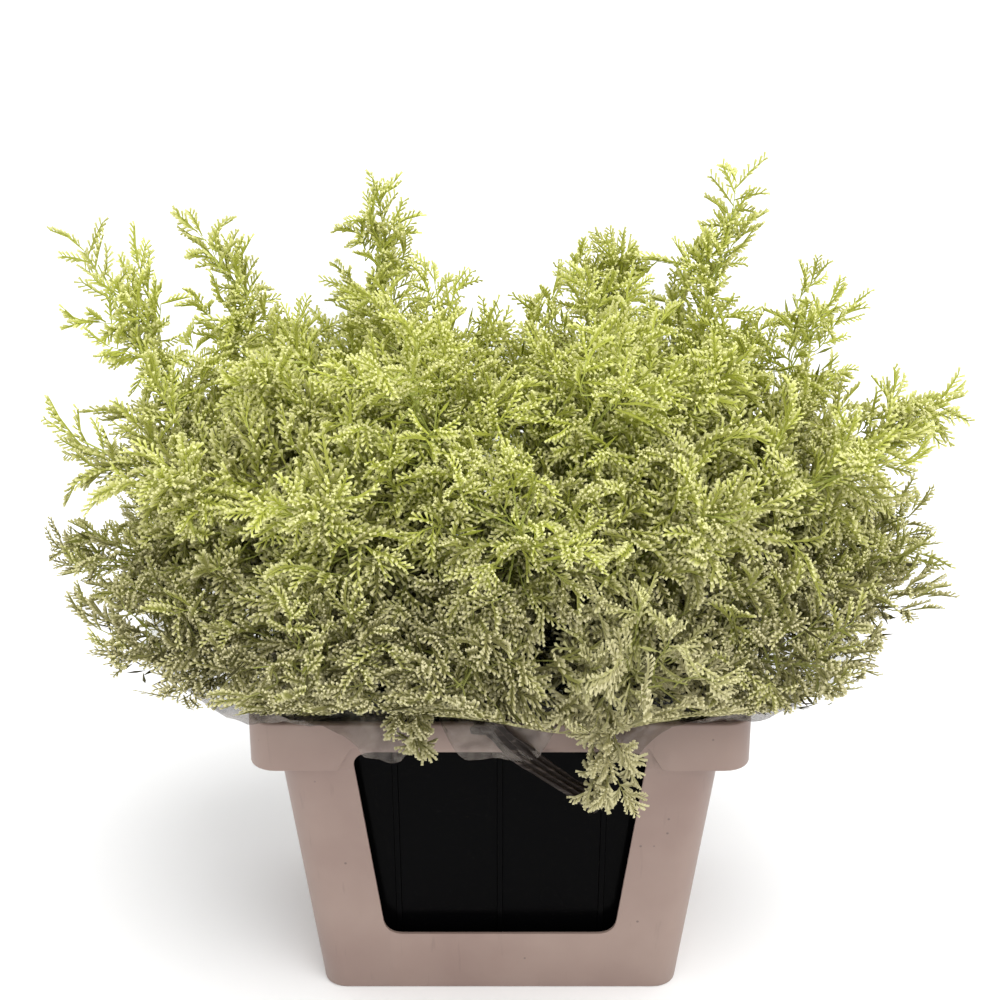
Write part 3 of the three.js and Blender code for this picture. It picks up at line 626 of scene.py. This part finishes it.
def growSpray(spray, seed):
    draw = np.random.default_rng(seed)
    stalk, pile = Pile(), Pile()
    axis = spray["axis"]
    size = min(1.0, spray["width"] / mound["width"] * (spray["length"] / 140) ** 0.5)
    reference = np.array([0.3, 0.1, 1.0] if abs(axis[2]) < 0.9 else [1.0, 0, 0])
    side, other = squareTo(axis, reference)
    stem, thick = mainStem(spray)
    addTubes(stalk, stem[None], thick[None], 5, side, np.array(twig["finish"]))
    style = styleOf(spray)
    for most, depth in ((style["fans"], 1.0), (crown["innerFans"], crown["innerDepth"])):
        count = max(crown["fewestFans"], round(most * size ** 1.2))
        addFans(pile, draw, axis, style, size, *crownFans(spray, draw, side, other, style, count, depth))
    if not spray["hangs"]:
        addFans(pile, draw, axis, undergrowth, 1.0, *stemFans(draw, stem, undergrowth["fans"]))
    if style is dense:
        addShadeFiller(pile, spray, draw, side, other, size)
    x, y, z = spray["tip"]
    if crown["paleX"][0] < x < crown["paleX"][1] and y < crown["paleY"] and z < crown["paleZ"]:
        pile.finish = [np.maximum(finish, [0, crown["paleness"], 0, 0]) for finish in pile.finish]
    if not spray["hangs"]:
        pile.points = [clearOfFilm(points) for points in pile.points]
    return stalk, pile


def clearOfFilm(points):
    # Foliage that would reach the film is bent up from it, or forwards from the film at the back.
    # What would pass the solids' box by more than the spare is pressed back.
    x, y, z = points.T
    droop = spill["droop"] * np.maximum(0, spill["hangY"] + spill["droopFrom"] - y) ** 2
    z = z - droop * np.clip((spill["droopUnder"] - z) / spill["droopFade"], 0, 1) * hanging(x)
    gap, soft = clearance["film"]
    lifted = softFloor(z, floorUnder(x, y) + gap, soft)
    gap, soft = clearance["back"]
    forward = -softFloor(-y, gap - backFilm(lifted), soft)
    spare, soft = clearance["box"]
    left, right = cadLow[0] / mm - spare, cadHigh[0] / mm + spare
    x = -softFloor(-softFloor(x, left, soft), -right, soft)
    front = cadLow[1] / mm - spare * clearance["frontShare"]
    return np.stack([x, softFloor(forward, front, soft), lifted], -1)


def makeSprays(material):
    faces = 0
    for k, spray in enumerate(sprays):
        stalk, foliage = growSpray(spray, 100 + k)
        stalk.add(*foliage.joined())
        points, corners, finish = stalk.joined()
        piece = meshObject("statice_" + spray["name"], points, corners, False, finish)
        piece.data.materials.append(material)
        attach(piece, "root")
        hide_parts(spray["name"])
        faces += len(piece.data.polygons)
    print("sprays grown:", faces, "triangles")


# Crate: a profile swept round a rounded rectangle, with windows cut through its walls

def roundTrip():
    # Columns round a rounded rectangle: x = ax (halfX - r) + r cos, y = ay (halfY - r) + r sin.
    # The straight stretches have columns at the ends of the band's raised stretch.
    straightX = crate["rimX"] - crate["rimCorner"]
    stops = np.array([-straightX, -crate["bandStep"][1], -crate["bandStep"][0], 0])
    runs = []
    for a, b in zip(stops, stops[1:]):
        runs.append(np.linspace(a, b, max(2, round((b - a) / crate["spacing"])), endpoint=False))
    half = np.concatenate(runs)
    alongX = np.concatenate([half, [0], -half[::-1]]) / straightX
    alongY = np.linspace(-1, 1, round(2 * crate["rimY"] / crate["spacing"]))
    quarter = np.linspace(0, 0.5 * np.pi, crate["cornerSteps"] + 1)[1:-1]
    one, sides = np.ones, []
    for k, (signX, signY) in enumerate(((1, 1), (-1, 1), (-1, -1), (1, -1))):
        turn = quarter + k * 0.5 * np.pi
        sides.append((signX * one(len(turn)), signY * one(len(turn)), turn))
        line = alongX if k % 2 == 0 else alongY
        along, flat = (-line if k < 2 else line), one(len(line))
        stretch = (along, signY * flat) if k % 2 == 0 else (signX * flat, along)
        sides.append((*stretch, (k + 1) * 0.5 * np.pi * flat))
    return [np.concatenate(part) for part in zip(*sides)]


def crateProfile(across, turn):
    # Rows of half sizes, corner radius and height, from under the base, up the outside, over the rim
    # and down inside. The band's foot rises over the long windows, and its hollow runs along the ends alone.
    top, rimX, rimY = crate["height"], crate["rimX"], crate["rimY"]
    low = top - crate["bandHeight"]
    atX = np.abs(across) * (rimX - crate["rimCorner"])
    longSide = np.abs(np.sin(turn)) > 0.999
    step = np.interp(atX, crate["bandStep"], [top - crate["bandOverWindow"], low])
    foot = np.where(longSide, step, low)
    hollow = np.abs(np.cos(turn)) ** 0.5
    wallX = lambda z: crate["wallX"] - (low - z) * draft
    wallY = lambda z: crate["wallY"] - (low - z) * draft
    corner = lambda z: crate["wallCorner"] + z * draft * 0.3
    edge, lip, wall, base = crate["edge"], crate["lipEdge"], crate["wall"], crate["base"]
    grooveAt, grooveHalf, grooveDeep = crate["groove"]
    rows = []

    def onWall(z, inset=0.0):
        rows.append((wallX(z) - inset, wallY(z) - inset, corner(z) - inset, z))

    def onRim(z, inset=0.0):
        rows.append((rimX - inset, rimY - inset, crate["rimCorner"] - inset, z))

    for inset, z in ((9, 0), (edge, 0), (edge * 0.3, edge * 0.3), (0, edge)):
        onWall(z, inset)
    for share in (0.25, 0.5, 0.75, 0.96, 1.0):
        onWall(edge + (foot - edge) * share)
    channel = foot + (top - wall - foot) * hollow
    onWall(channel, -0.4)
    rows.append((rimX - wall, wallY(foot) + (rimY - wallY(foot)) * 0.5, crate["rimCorner"] - wall, channel))
    rows.append((rimX - wall, wallY(foot) + (rimY - wallY(foot)) * 0.6, crate["rimCorner"] - wall, foot))
    for inset, z in ((edge, 0), (edge * 0.3, edge * 0.3), (0, edge)):
        onRim(foot + z, inset)
    onRim((foot + top) / 2)
    for turnShare in np.linspace(0, 1, 4):
        angle = turnShare * 0.5 * np.pi
        onRim(top - lip * (1 - math.sin(angle)), lip * (1 - math.cos(angle)))
    onRim(top, grooveAt - grooveHalf * 0.6)
    onRim(top - grooveDeep, grooveAt - grooveHalf * 0.3)
    onRim(top - grooveDeep, grooveAt + grooveHalf * 0.3)
    onRim(top - 0.2, grooveAt + grooveHalf * 0.6)
    for inset, z in ((wall - 0.8, top - 0.2), (wall - 0.2, top - 0.8), (wall, top - 2)):
        onWall(z, inset)
    for share in (0.7, 0.4, 0.1):
        onWall(base + (top - base) * share, wall)
    for inset, z in ((wall + 0.6, base + 2), (wall + 2.4, base), (wall + 9, base)):
        onWall(z, inset)
    return rows


def dropCutter(halfTop, lowZ, highZ, alongX):
    # a long bar whose section is a window: a trapezium with the draft, its corners rounded
    lowHalf = halfTop - (highZ - lowZ) * draft
    corners = np.array([[-lowHalf, lowZ], [lowHalf, lowZ], [halfTop, highZ], [-halfTop, highZ]])
    before, after = np.roll(corners, 1, 0), np.roll(corners, -1, 0)
    start = corners + unit(before - corners) * windows["corner"]
    end = corners + unit(after - corners) * windows["corner"]
    t = np.linspace(0, 1, 9)[:, None, None]
    ring = ((1 - t) ** 2 * start + 2 * t * (1 - t) * corners + t ** 2 * end).transpose(1, 0, 2).reshape(-1, 2)
    count, far = len(ring), 300.0
    across = np.tile([[-far], [far]], (1, count))
    first, second = np.tile(ring[:, 0], (2, 1)), np.tile(ring[:, 1], (2, 1))
    points = np.stack([across, first, second] if alongX else [first, across, second], -1).reshape(-1, 3)
    return outwards(meshObject("cutter", points, tubeFaces(2, count), False))


def outwards(thing):
    shape = bmesh.new()
    shape.from_mesh(thing.data)
    bmesh.ops.remove_doubles(shape, verts=shape.verts, dist=1e-7)
    bmesh.ops.recalc_face_normals(shape, faces=shape.faces)
    shape.to_mesh(thing.data)
    shape.free()
    return thing


def settle(thing):
    # puts the modifiers' result into the mesh
    result = bpy.data.meshes.new_from_object(thing.evaluated_get(bpy.context.evaluated_depsgraph_get()))
    thing.modifiers.clear()
    thing.data = result


def makeCrate(material):
    across, deep, turn = roundTrip()
    rows = crateProfile(across, turn)
    count = len(across)
    points = np.stack([
        np.stack([
            across * (halfX - corner) + corner * np.cos(turn),
            deep * (halfY - corner) + corner * np.sin(turn), np.broadcast_to(z, turn.shape),
        ], -1)
        for halfX, halfY, corner, z in rows
    ])
    quads = gridFaces(len(rows), count, True)
    k = np.arange(count)
    n = (k + 1) % count
    middle = len(rows) * count
    caps = [np.stack([0 * k + middle, n, k], -1), np.stack([0 * k + middle + 1, k, n], -1)]
    caps[1][:, 1:] += (len(rows) - 1) * count
    faces = np.concatenate([quads[:, [0, 1, 2]], quads[:, [0, 2, 3]], *caps])
    points = np.concatenate([points.reshape(-1, 3), [[0, 0, 0], [0, 0, crate["base"]]]])
    tub = outwards(meshObject("flower_crate", points, faces))
    top = crate["height"]
    cutters = [
        dropCutter(windows["longHalf"], windows["sill"], top - windows["topDrop"], False),
        dropCutter(windows["endHalf"], windows["sill"], top - windows["endTopDrop"], True),
    ]
    for cutter in cutters:
        cut = tub.modifiers.new("window", "BOOLEAN")
        cut.object, cut.operation, cut.solver = cutter, "DIFFERENCE", "EXACT"
    settle(tub)
    for cutter in cutters:
        bpy.data.objects.remove(cutter)
    bevel = tub.modifiers.new("eased edges", "BEVEL")
    bevel.width, bevel.segments, bevel.limit_method = windows["bevel"] * mm, 2, "ANGLE"
    bevel.angle_limit = math.radians(60)
    settle(tub)
    tub.data.set_sharp_from_angle(angle=math.radians(38))
    tub.data.materials.clear()
    tub.data.materials.append(material)
    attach(tub, "root")
    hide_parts("crate")
    print("crate made:", len(tub.data.polygons), "faces")


# Film: a tube round each bunch, opened out over the rim, in front of it, or standing up at the back

def risingBack(rise):
    return [backFilm(crate["height"] + high) for high in rise], rise


filmRuns = {  # how far out from the middle the film has got, and how high over the rim, at four levels
    "side": ([176, 201, 243, 285], [3, 6, 23, 47]),
    "front": ([140, 153.8, 158, 162], [3.2, 2.6, 2, 1.6]),
    "flap": ([140, 153.8, 155.4, 156.4], [3.2, 2.6, -10, -26]),
    "within": ([0, 0, 0, 0], [2, 4, 6, 8]),
    "back": risingBack([15, 60, 140, 232]), "peak": risingBack([15, 60, 150, 264]),
    "lowPeak": risingBack([15, 60, 130, 205]), "notch": risingBack([13, 17, 23, 30]),
}
filmCorner = {"share": 0.6, "rise": 0.2, "backSpread": 50}


def sleevePlaces(column, row):
    # a dozen places round a rounded rectangle, and one between its corners where the film opens
    halfX = sleeve["mouthX"] / sleeve["columns"] - sleeve["apart"] / 2
    halfY = sleeve["mouthY"] / sleeve["rows"] - sleeve["apart"] / 2
    middleX = (2 * column + 1 - sleeve["columns"]) * sleeve["mouthX"] / sleeve["columns"]
    middleY = (2 * row + 1 - sleeve["rows"]) * sleeve["mouthY"] / sleeve["rows"]
    outerX, outerY = np.sign(column - (sleeve["columns"] - 1) / 2), (-1 if row == 0 else 1)
    r = sleeve["corner"]
    k = np.arange(12)
    turn = (k // 3 + k % 3 / 2) * 0.5 * np.pi
    cornerX, cornerY = np.array([1, -1, -1, 1])[k // 3], np.array([1, 1, -1, -1])[k // 3]
    x, y = cornerX * (halfX - r) + r * np.cos(turn), cornerY * (halfY - r) + r * np.sin(turn)
    diagonal = k % 3 == 1
    at = 3 if outerY > 0 else 9
    x, y = np.insert(x, at, 0), np.insert(y, at, outerY * halfY)
    diagonal = np.insert(diagonal, at, False)
    between = np.arange(13) == at
    toSide, toEnd = x * outerX > halfX - r * 0.5, y * outerY > halfY - r * 0.5
    names = np.full(13, "within", dtype="<U8")
    if row > 0:
        names[toEnd] = "back"
        names[toEnd & between] = "peak"
        if outerX == 0:
            names[toEnd] = "lowPeak"
        names[toEnd & diagonal & ~toSide] = "notch"
    else:
        names[toEnd] = "flap"
        names[toEnd & (diagonal | (x * outerX > 1))] = "front"
    out, rise = np.array([filmRuns[name] for name in names]).transpose(1, 0, 2)
    side, sideRise = np.array(filmRuns["side"])
    level = np.arange(4)
    share = np.where(toSide & toEnd, filmCorner["share"], 1.0)[:, None]

    def reach(run):
        first = run[..., np.minimum(level, 1)]
        return first + (run - first) * share

    spread = np.where(toEnd & (outerY > 0), outerX * filmCorner["backSpread"], 0)[:, None] * level / 3
    outX = np.where(toSide[:, None], outerX * reach(side[None]), (x + middleX)[:, None] + spread)
    outY = np.where(toEnd[:, None], outerY * reach(out), (y + middleY)[:, None])
    part = np.where(toSide, filmCorner["rise"] * toEnd, 1.0)[:, None]
    outZ = crate["height"] + rise * part + sideRise * (1 - part)
    flared = np.stack([outX, outY, outZ], -1).transpose(1, 0, 2)
    straight = [
        np.stack([(x + middleX) * scale, (y + middleY) * scale, np.full(13, z)], -1)
        for scale, z in ((sleeve["footScale"], sleeve["footZ"]), (1, crate["height"] - 2))
    ]
    return np.concatenate([straight, flared])


def through(points, t, closed):
    # a Catmull-Rom curve through points along the first axis, at the places t
    count = len(points)
    last = count if closed else count - 1
    k = np.clip(np.floor(t).astype(int), 0, last - 1)
    f = (t - k).reshape((-1,) + (1,) * (points.ndim - 1))
    pick = lambda step: points[(k + step) % count] if closed else points[np.clip(k + step, 0, count - 1)]
    a, b, c, d = pick(-1), pick(0), pick(1), pick(2)
    square, cube = 2 * a - 5 * b + 4 * c - d, 3 * b - a - 3 * c + d
    return 0.5 * (2 * b + (c - a) * f + square * f ** 2 + cube * f ** 3)


def creases(along, up, girth, seed):
    # folds of thin film: a sum of 1 - 2|sin| ridges, each with its own width and slant, closed round the tube
    draw = np.random.default_rng(seed)
    total = np.zeros(along.shape)
    for width in sleeve["creaseWidths"]:
        slant = draw.uniform(-0.9, 0.9)
        turns = max(1, np.round(girth * math.cos(slant) / width)) * np.pi / girth
        wander = 0.7 * np.sin(up * 2 * np.pi / draw.uniform(60, 140) + draw.uniform(0, 6))
        climb = math.sin(slant) / width * np.pi * up
        ridges = 1 - 2 * np.abs(np.sin(turns * along + climb + wander + draw.uniform(0, 6)))
        total += ridges * width * sleeve["crease"]
    return total


def thicken(piece, thickness):
    wall = piece.modifiers.new("film", "SOLIDIFY")
    wall.thickness, wall.offset = thickness * mm, 0


def makeSleeve(column, row, material):
    name = "film_sleeve_" + ("front", "back")[row] + "_" + ("left", "middle", "right")[column]
    knots = sleevePlaces(column, row)
    rim = knots[3]
    lengths = np.linalg.norm(np.roll(rim, -1, 0) - rim, axis=-1) + 4
    distance = np.concatenate([[0], np.cumsum(lengths)])
    steps = round(distance[-1] / sleeve["spacing"])
    columns = np.interp(np.arange(steps) / steps * distance[-1], distance, np.arange(14))
    rows = np.concatenate([
        k + np.arange(count) / count for k, count in enumerate(sleeve["rowSteps"])
    ] + [[len(sleeve["rowSteps"])]])
    sheet = through(knots.transpose(1, 0, 2), columns, True).transpose(1, 0, 2)
    points = through(sheet, rows, False)
    normal = unit(np.cross(np.roll(points, -1, 1) - np.roll(points, 1, 1), np.gradient(points, axis=0)))
    upStep = np.linalg.norm(np.gradient(points, axis=0), axis=-1)
    up = np.cumsum(upStep, 0)
    along = np.broadcast_to(np.arange(steps) * (distance[-1] / steps), up.shape)
    free = np.clip((rows - 1.2) / 1.6, 0, 1)[:, None]
    deep = creases(along, up, distance[-1], 40 + 2 * column + row) * (0.25 + free)
    points = points + normal * (deep * np.minimum(1, rows)[:, None])[..., None]
    piece = outwards(meshObject("clear_" + name, points.reshape(-1, 3), gridFaces(len(rows), steps, True)))
    thicken(piece, sleeve["film"])
    piece.data.materials.append(material)
    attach(piece, "root")
    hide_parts(name)
    return len(piece.data.polygons) * 4


def makeFilm(material):
    places = [(column, row) for column in range(sleeve["columns"]) for row in range(sleeve["rows"])]
    faces = sum(makeSleeve(*place, material) for place in places)
    print("film sleeves made:", faces, "triangles")


filmFold = {  # a bunched tail of film that falls over the rim in front
    "path": [
        (-20, -140, 276), (-8, -152, 272), (6, -158, 258), (30, -157, 238), (56, -158, 219), (80, -160, 203),
    ],
    "halfWidth": (14, 15, 12, 8, 7, 9), "pleat": 1.5, "pleats": 3.5, "twist": 0.7, "thickness": 0.4,
    "lengthSteps": 70, "acrossSteps": 18, "restsUnder": 1, "restsOff": 0.8,
}


def makeFold(material):
    # Across the tail u runs from -1 to 1: path + u * half width * across + pleat * sin(pleats pi u) * normal.
    # Across turns round the path by twist * sin(2 pi t), and the tail hangs just off the rim.
    knots = np.array(filmFold["path"], float)
    t = np.linspace(0, len(knots) - 1.001, filmFold["lengthSteps"])
    line = through(knots, t, False)
    half = np.interp(t, np.arange(len(knots)), filmFold["halfWidth"])[:, None, None]
    way = unit(np.gradient(line, axis=0))
    first, second = squareTo(way, np.array([0, -1.0, 0]))
    turn = filmFold["twist"] * np.sin(2 * np.pi * t / t[-1])[:, None]
    normal, across = turned(first, second, turn)[:, None], turned(second, -first, turn)[:, None]
    u = np.linspace(-1, 1, filmFold["acrossSteps"])[None, :, None]
    wave = np.sin(filmFold["pleats"] * np.pi * u + 1.1 * np.sin(1.7 * t)[:, None, None])
    points = line[:, None] + u * half * across + filmFold["pleat"] * wave * normal
    hangs = points[..., 2] < crate["height"] + filmFold["restsUnder"]
    points[..., 1] = np.minimum(points[..., 1], np.where(hangs, -crate["rimY"] - filmFold["restsOff"], 0))
    sheet = gridFaces(filmFold["lengthSteps"], filmFold["acrossSteps"], False)
    piece = outwards(meshObject("clear_film_tail", points.reshape(-1, 3), sheet))
    thicken(piece, filmFold["thickness"])
    piece.data.materials.append(material)
    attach(piece, "root")
    print("film tail made")


# Materials

class Look:
    # a material, its shader, and short ways to lay nodes before it
    def __init__(self, name, colour, roughness, gloss=0.5, alpha=1.0):
        self.material = bpy.data.materials.new(name)
        self.material.use_nodes = True
        self.shader = self.material.node_tree.nodes["Principled BSDF"].inputs
        self.shader["Base Color"].default_value = (*colour[:3], 1)
        self.shader["Roughness"].default_value = roughness
        self.shader["Specular IOR Level"].default_value = gloss
        self.shader["Alpha"].default_value = alpha

    def node(self, kind, **values):
        # values are the node's own settings or its inputs
        made = self.material.node_tree.nodes.new("ShaderNode" + kind)
        for key, value in values.items():
            if hasattr(made, key):
                setattr(made, key, value)
            else:
                made.inputs[key].default_value = value
        return made

    def fill(self, sockets, values):
        # each value is another socket or a plain value
        for socket, value in zip(sockets, values):
            if isinstance(value, bpy.types.NodeSocket):
                self.material.node_tree.links.new(value, socket)
            else:
                socket.default_value = value

    def made(self, kind, *feeds, **values):
        # the outputs of a node whose first inputs are fed in their order
        node = self.node(kind, **values)
        self.fill(node.inputs, feeds)
        return node.outputs

    def place(self):
        return self.node("TexCoord").outputs["Object"]

    def noise(self, place, **values):
        return self.made("TexNoise", place, **values)["Fac"]

    def ramp(self, value, low, high, toLow=0.0, toHigh=1.0):
        return self.made("MapRange", value, low, high, toLow, toHigh)[0]

    def mix(self, factor, first, second):
        node = self.node("Mix", data_type="RGBA")
        self.fill((node.inputs[0], node.inputs[6], node.inputs[7]), (factor, first, second))
        return node.outputs[2]

    def bump(self, height, strength, distance):
        node = self.node("Bump", Strength=strength, Distance=distance)
        self.fill([node.inputs["Height"], self.shader["Normal"]], [height, node.outputs[0]])

    def paint(self, colour):
        self.fill([self.shader["Base Color"]], [colour])

    def roughen(self, roughness):
        self.fill([self.shader["Roughness"]], [roughness])


# cup colours: the fresh ones are painted lighter as light, the dry ones painted darker as shade
statice = {
    "plain": (0.50, 0.52, 0.14), "roughness": 0.75, "gloss": 0.25, "highFrom": 0.28, "highTo": 0.52,
    "dryness": (-0.66, 0.54), "patches": 0.7, "perSpike": 0.72, "stemFade": (0.40, 0.30),
    "freshAndLitFoot": (0.30, 0.33, 0.035, 1), "freshAndLit": (0.54, 0.575, 0.105, 1), "freshAndLitTip": (0.75, 0.75, 0.33, 1),
    "dryFoot": (0.085, 0.078, 0.02, 1), "dry": (0.29, 0.275, 0.105, 1), "dryTip": (0.58, 0.54, 0.32, 1),
    "freshShade": (0.24, 0.265, 0.035, 1), "dryShade": (0.018, 0.017, 0.003, 1),
    "stem": (0.45, 0.50, 0.12, 1), "lowStem": (0.20, 0.19, 0.065, 1),
}


def staticeMaterial():
    # Each cup runs from its foot to its tip: paler at its tip, and darker at its foot, partly painted shade
    # among the cups.
    # Fresh colours lie high in the mound, painted lighter as light from above; dry ones lie low, painted
    # darker as shade.
    # They are mixed by slow patches and by each spike's own tone. The shade channel paints shade deep in the
    # crowns. Stems are darker lower down.
    look = Look("dried_statice", statice["plain"], statice["roughness"], statice["gloss"])
    place = look.place()
    finish = look.node("Attribute", attribute_name="finish").outputs
    tone, along, shade = look.made("SeparateColor", finish["Color"])
    height = look.made("SeparateXYZ", place)["Z"]
    patches = look.noise(place, Scale=11.0, Detail=3.0)
    # painted light and shade by height: lighter fresh colours high up, darker dry colours low down
    dry = look.ramp(height, statice["highTo"], statice["highFrom"], *statice["dryness"])
    dry = look.made("Math", patches, statice["patches"], dry, operation="MULTIPLY_ADD")[0]
    dry = look.made("Math", tone, statice["perSpike"], dry, operation="MULTIPLY_ADD", use_clamp=True)[0]
    foot = look.mix(dry, statice["freshAndLitFoot"], statice["dryFoot"])
    middle = look.mix(dry, statice["freshAndLit"], statice["dry"])
    tip = look.mix(dry, statice["freshAndLitTip"], statice["dryTip"])
    # cups darken from tip to foot: partly the cup's own paler tip, partly painted shade at the foot among the
    # other cups
    body = look.mix(look.ramp(along, 0.0, 0.5), foot, middle)
    body = look.mix(look.ramp(along, 0.55, 1.0), body, tip)
    # painted shade: the shade channel pulls inner spikes, their rods and the filler towards a dark shade
    # colour
    body = look.mix(shade, body, look.mix(dry, statice["freshShade"], statice["dryShade"]))
    stem = look.mix(look.ramp(height, *statice["stemFade"]), statice["stem"], statice["lowStem"])
    look.paint(look.mix(finish["Alpha"], stem, body))
    return look.material


plastic = {
    "body": (0.245, 0.168, 0.142, 1), "pale": (0.300, 0.218, 0.184, 1), "speck": (0.10, 0.07, 0.06, 1),
    "roughness": 0.45, "uneven": (0.36, 0.52), "streaks": 0.22, "specks": 0.75, "stretch": (1, 1, 0.06),
    "grain": (0.25, 0.00012),
}


def plasticMaterial():
    # moulded plastic: slow mottling, faint upright streaks, a few dark specks, and a fine satin grain
    look = Look("crate_plastic", plastic["body"], plastic["roughness"])
    place = look.place()
    cloud = look.noise(place, Scale=9.0, Detail=4.0)
    upright = look.made("Mapping", place, Scale=plastic["stretch"])[0]
    streak = look.ramp(look.noise(upright, Scale=160.0, Detail=2.0), 0.66, 0.78, 0.0, plastic["streaks"])
    dots = look.made("TexVoronoi", place, Scale=95.0)
    few = look.ramp(look.made("SeparateColor", dots["Color"])[0], 0.90, 0.91)
    small = look.ramp(dots["Distance"], 0.13, 0.07, 0.0, plastic["specks"])
    body = look.mix(look.ramp(cloud, 0.38, 0.68), plastic["body"], plastic["pale"])
    body = look.mix(streak, body, plastic["speck"])
    body = look.mix(look.made("Math", few, small, operation="MULTIPLY")[0], body, plastic["speck"])
    look.paint(body)
    look.roughen(look.ramp(cloud, 0.3, 0.7, *plastic["uneven"]))
    look.bump(look.noise(place, Scale=1400.0, Detail=2.0), *plastic["grain"])
    return look.material


bucket = {
    "body": (0.0012, 0.0012, 0.0014, 1), "dust": (0.05, 0.048, 0.046, 1), "dustiness": 0.08,
    "roughness": 0.16, "uneven": (0.1, 0.28), "gloss": 0.03, "waves": (0.5, 0.0012),
}


def bucketMaterial():
    # glossy black plastic with slow waves in its gloss and a little dust
    look = Look("bucket_plastic", bucket["body"], bucket["roughness"], bucket["gloss"])
    place = look.place()
    waves = look.noise(place, Scale=11.0, Detail=2.0)
    dust = look.ramp(look.noise(place, Scale=420.0, Detail=3.0), 0.62, 0.8, 0.0, bucket["dustiness"])
    look.paint(look.mix(dust, bucket["body"], bucket["dust"]))
    look.roughen(look.ramp(waves, 0.35, 0.7, *bucket["uneven"]))
    look.bump(waves, *bucket["waves"])
    return look.material


film = {
    "plain": (0.70, 0.72, 0.71), "roughness": 0.14, "alpha": 0.27, "overRimFrom": -0.120, "overRimTo": -0.145,
    "free": ((0.50, 0.54, 0.53, 1), (0.86, 0.90, 0.89, 1)),
    "overRim": ((0.07, 0.055, 0.045, 1), (0.36, 0.31, 0.27, 1)), "wrinkles": (0.6, 0.0015),
}


def filmMaterial():
    # clear film, pale where it stands free and darker and browner over the rim in front, with fine wrinkles
    # on its folds
    look = Look("clear_film", film["plain"], film["roughness"], alpha=film["alpha"])
    place = look.place()
    front = look.ramp(look.made("SeparateXYZ", place)["Y"], film["overRimFrom"], film["overRimTo"])
    tint = look.ramp(look.noise(place, Scale=60.0, Detail=5.0, Distortion=1.2), 0.35, 0.7)
    look.paint(look.mix(front, look.mix(tint, *film["free"]), look.mix(tint, *film["overRim"])))
    look.bump(look.noise(place, Scale=90.0, Detail=4.0, Distortion=0.6), *film["wrinkles"])
    return look.material


tail = {
    "plain": (0.06, 0.045, 0.038), "roughness": 0.3, "alpha": 0.96, "gloss": 0.15, "slant": -38,
    "stretch": (0.12, 1, 1), "dark": (0.022, 0.016, 0.013, 1), "crease": (0.14, 0.112, 0.094, 1),
}


def tailMaterial():
    # the same film bunched in many layers: brown and nearly opaque, with lighter creases along it
    look = Look("clear_film_tail", tail["plain"], tail["roughness"], tail["gloss"], tail["alpha"])
    slant = (0, math.radians(tail["slant"]), 0)
    place = look.made("Mapping", look.place(), Rotation=slant, Scale=tail["stretch"])[0]
    light = look.ramp(look.noise(place, Scale=260.0, Detail=4.0), 0.54, 0.80)
    look.paint(look.mix(light, tail["dark"], tail["crease"]))
    return look.material


def finishBucket(material):
    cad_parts["bucket"].material_slots[0].material = material


# Stage: a pale floor and soft light

stage = {"floor": 30000, "white": 0.9, "world": 1.0, "sun": 2.2, "sunSpread": 50, "sunTurn": (24, 16, 0)}


def makeStage():
    points = np.array([[-1, -1, 0], [1, -1, 0], [1, 1, 0], [-1, 1, 0]]) * float(stage["floor"])
    floor = meshObject("floor", points, np.array([[0, 1, 2, 3]]), False)
    floor.data.materials.append(Look("floor", [stage["white"]] * 3, 0.9).material)
    world = bpy.data.worlds.new("studio")
    world.use_nodes = True
    background = world.node_tree.nodes["Background"].inputs
    background["Color"].default_value = (1, 1, 1, 1)
    background["Strength"].default_value = stage["world"]
    bpy.context.scene.world = world
    sun = bpy.data.lights.new("sun", "SUN")
    sun.energy = stage["sun"]
    sun.angle = math.radians(stage["sunSpread"])
    thing = bpy.data.objects.new("sun", sun)
    thing.rotation_euler = [math.radians(turn) for turn in stage["sunTurn"]]
    bpy.context.scene.collection.objects.link(thing)


makeStage()
makeCrate(plasticMaterial())
finishBucket(bucketMaterial())
makeFilm(filmMaterial())
makeFold(tailMaterial())
makeSprays(staticeMaterial())
bpy.context.scene.view_settings.view_transform = "Standard"
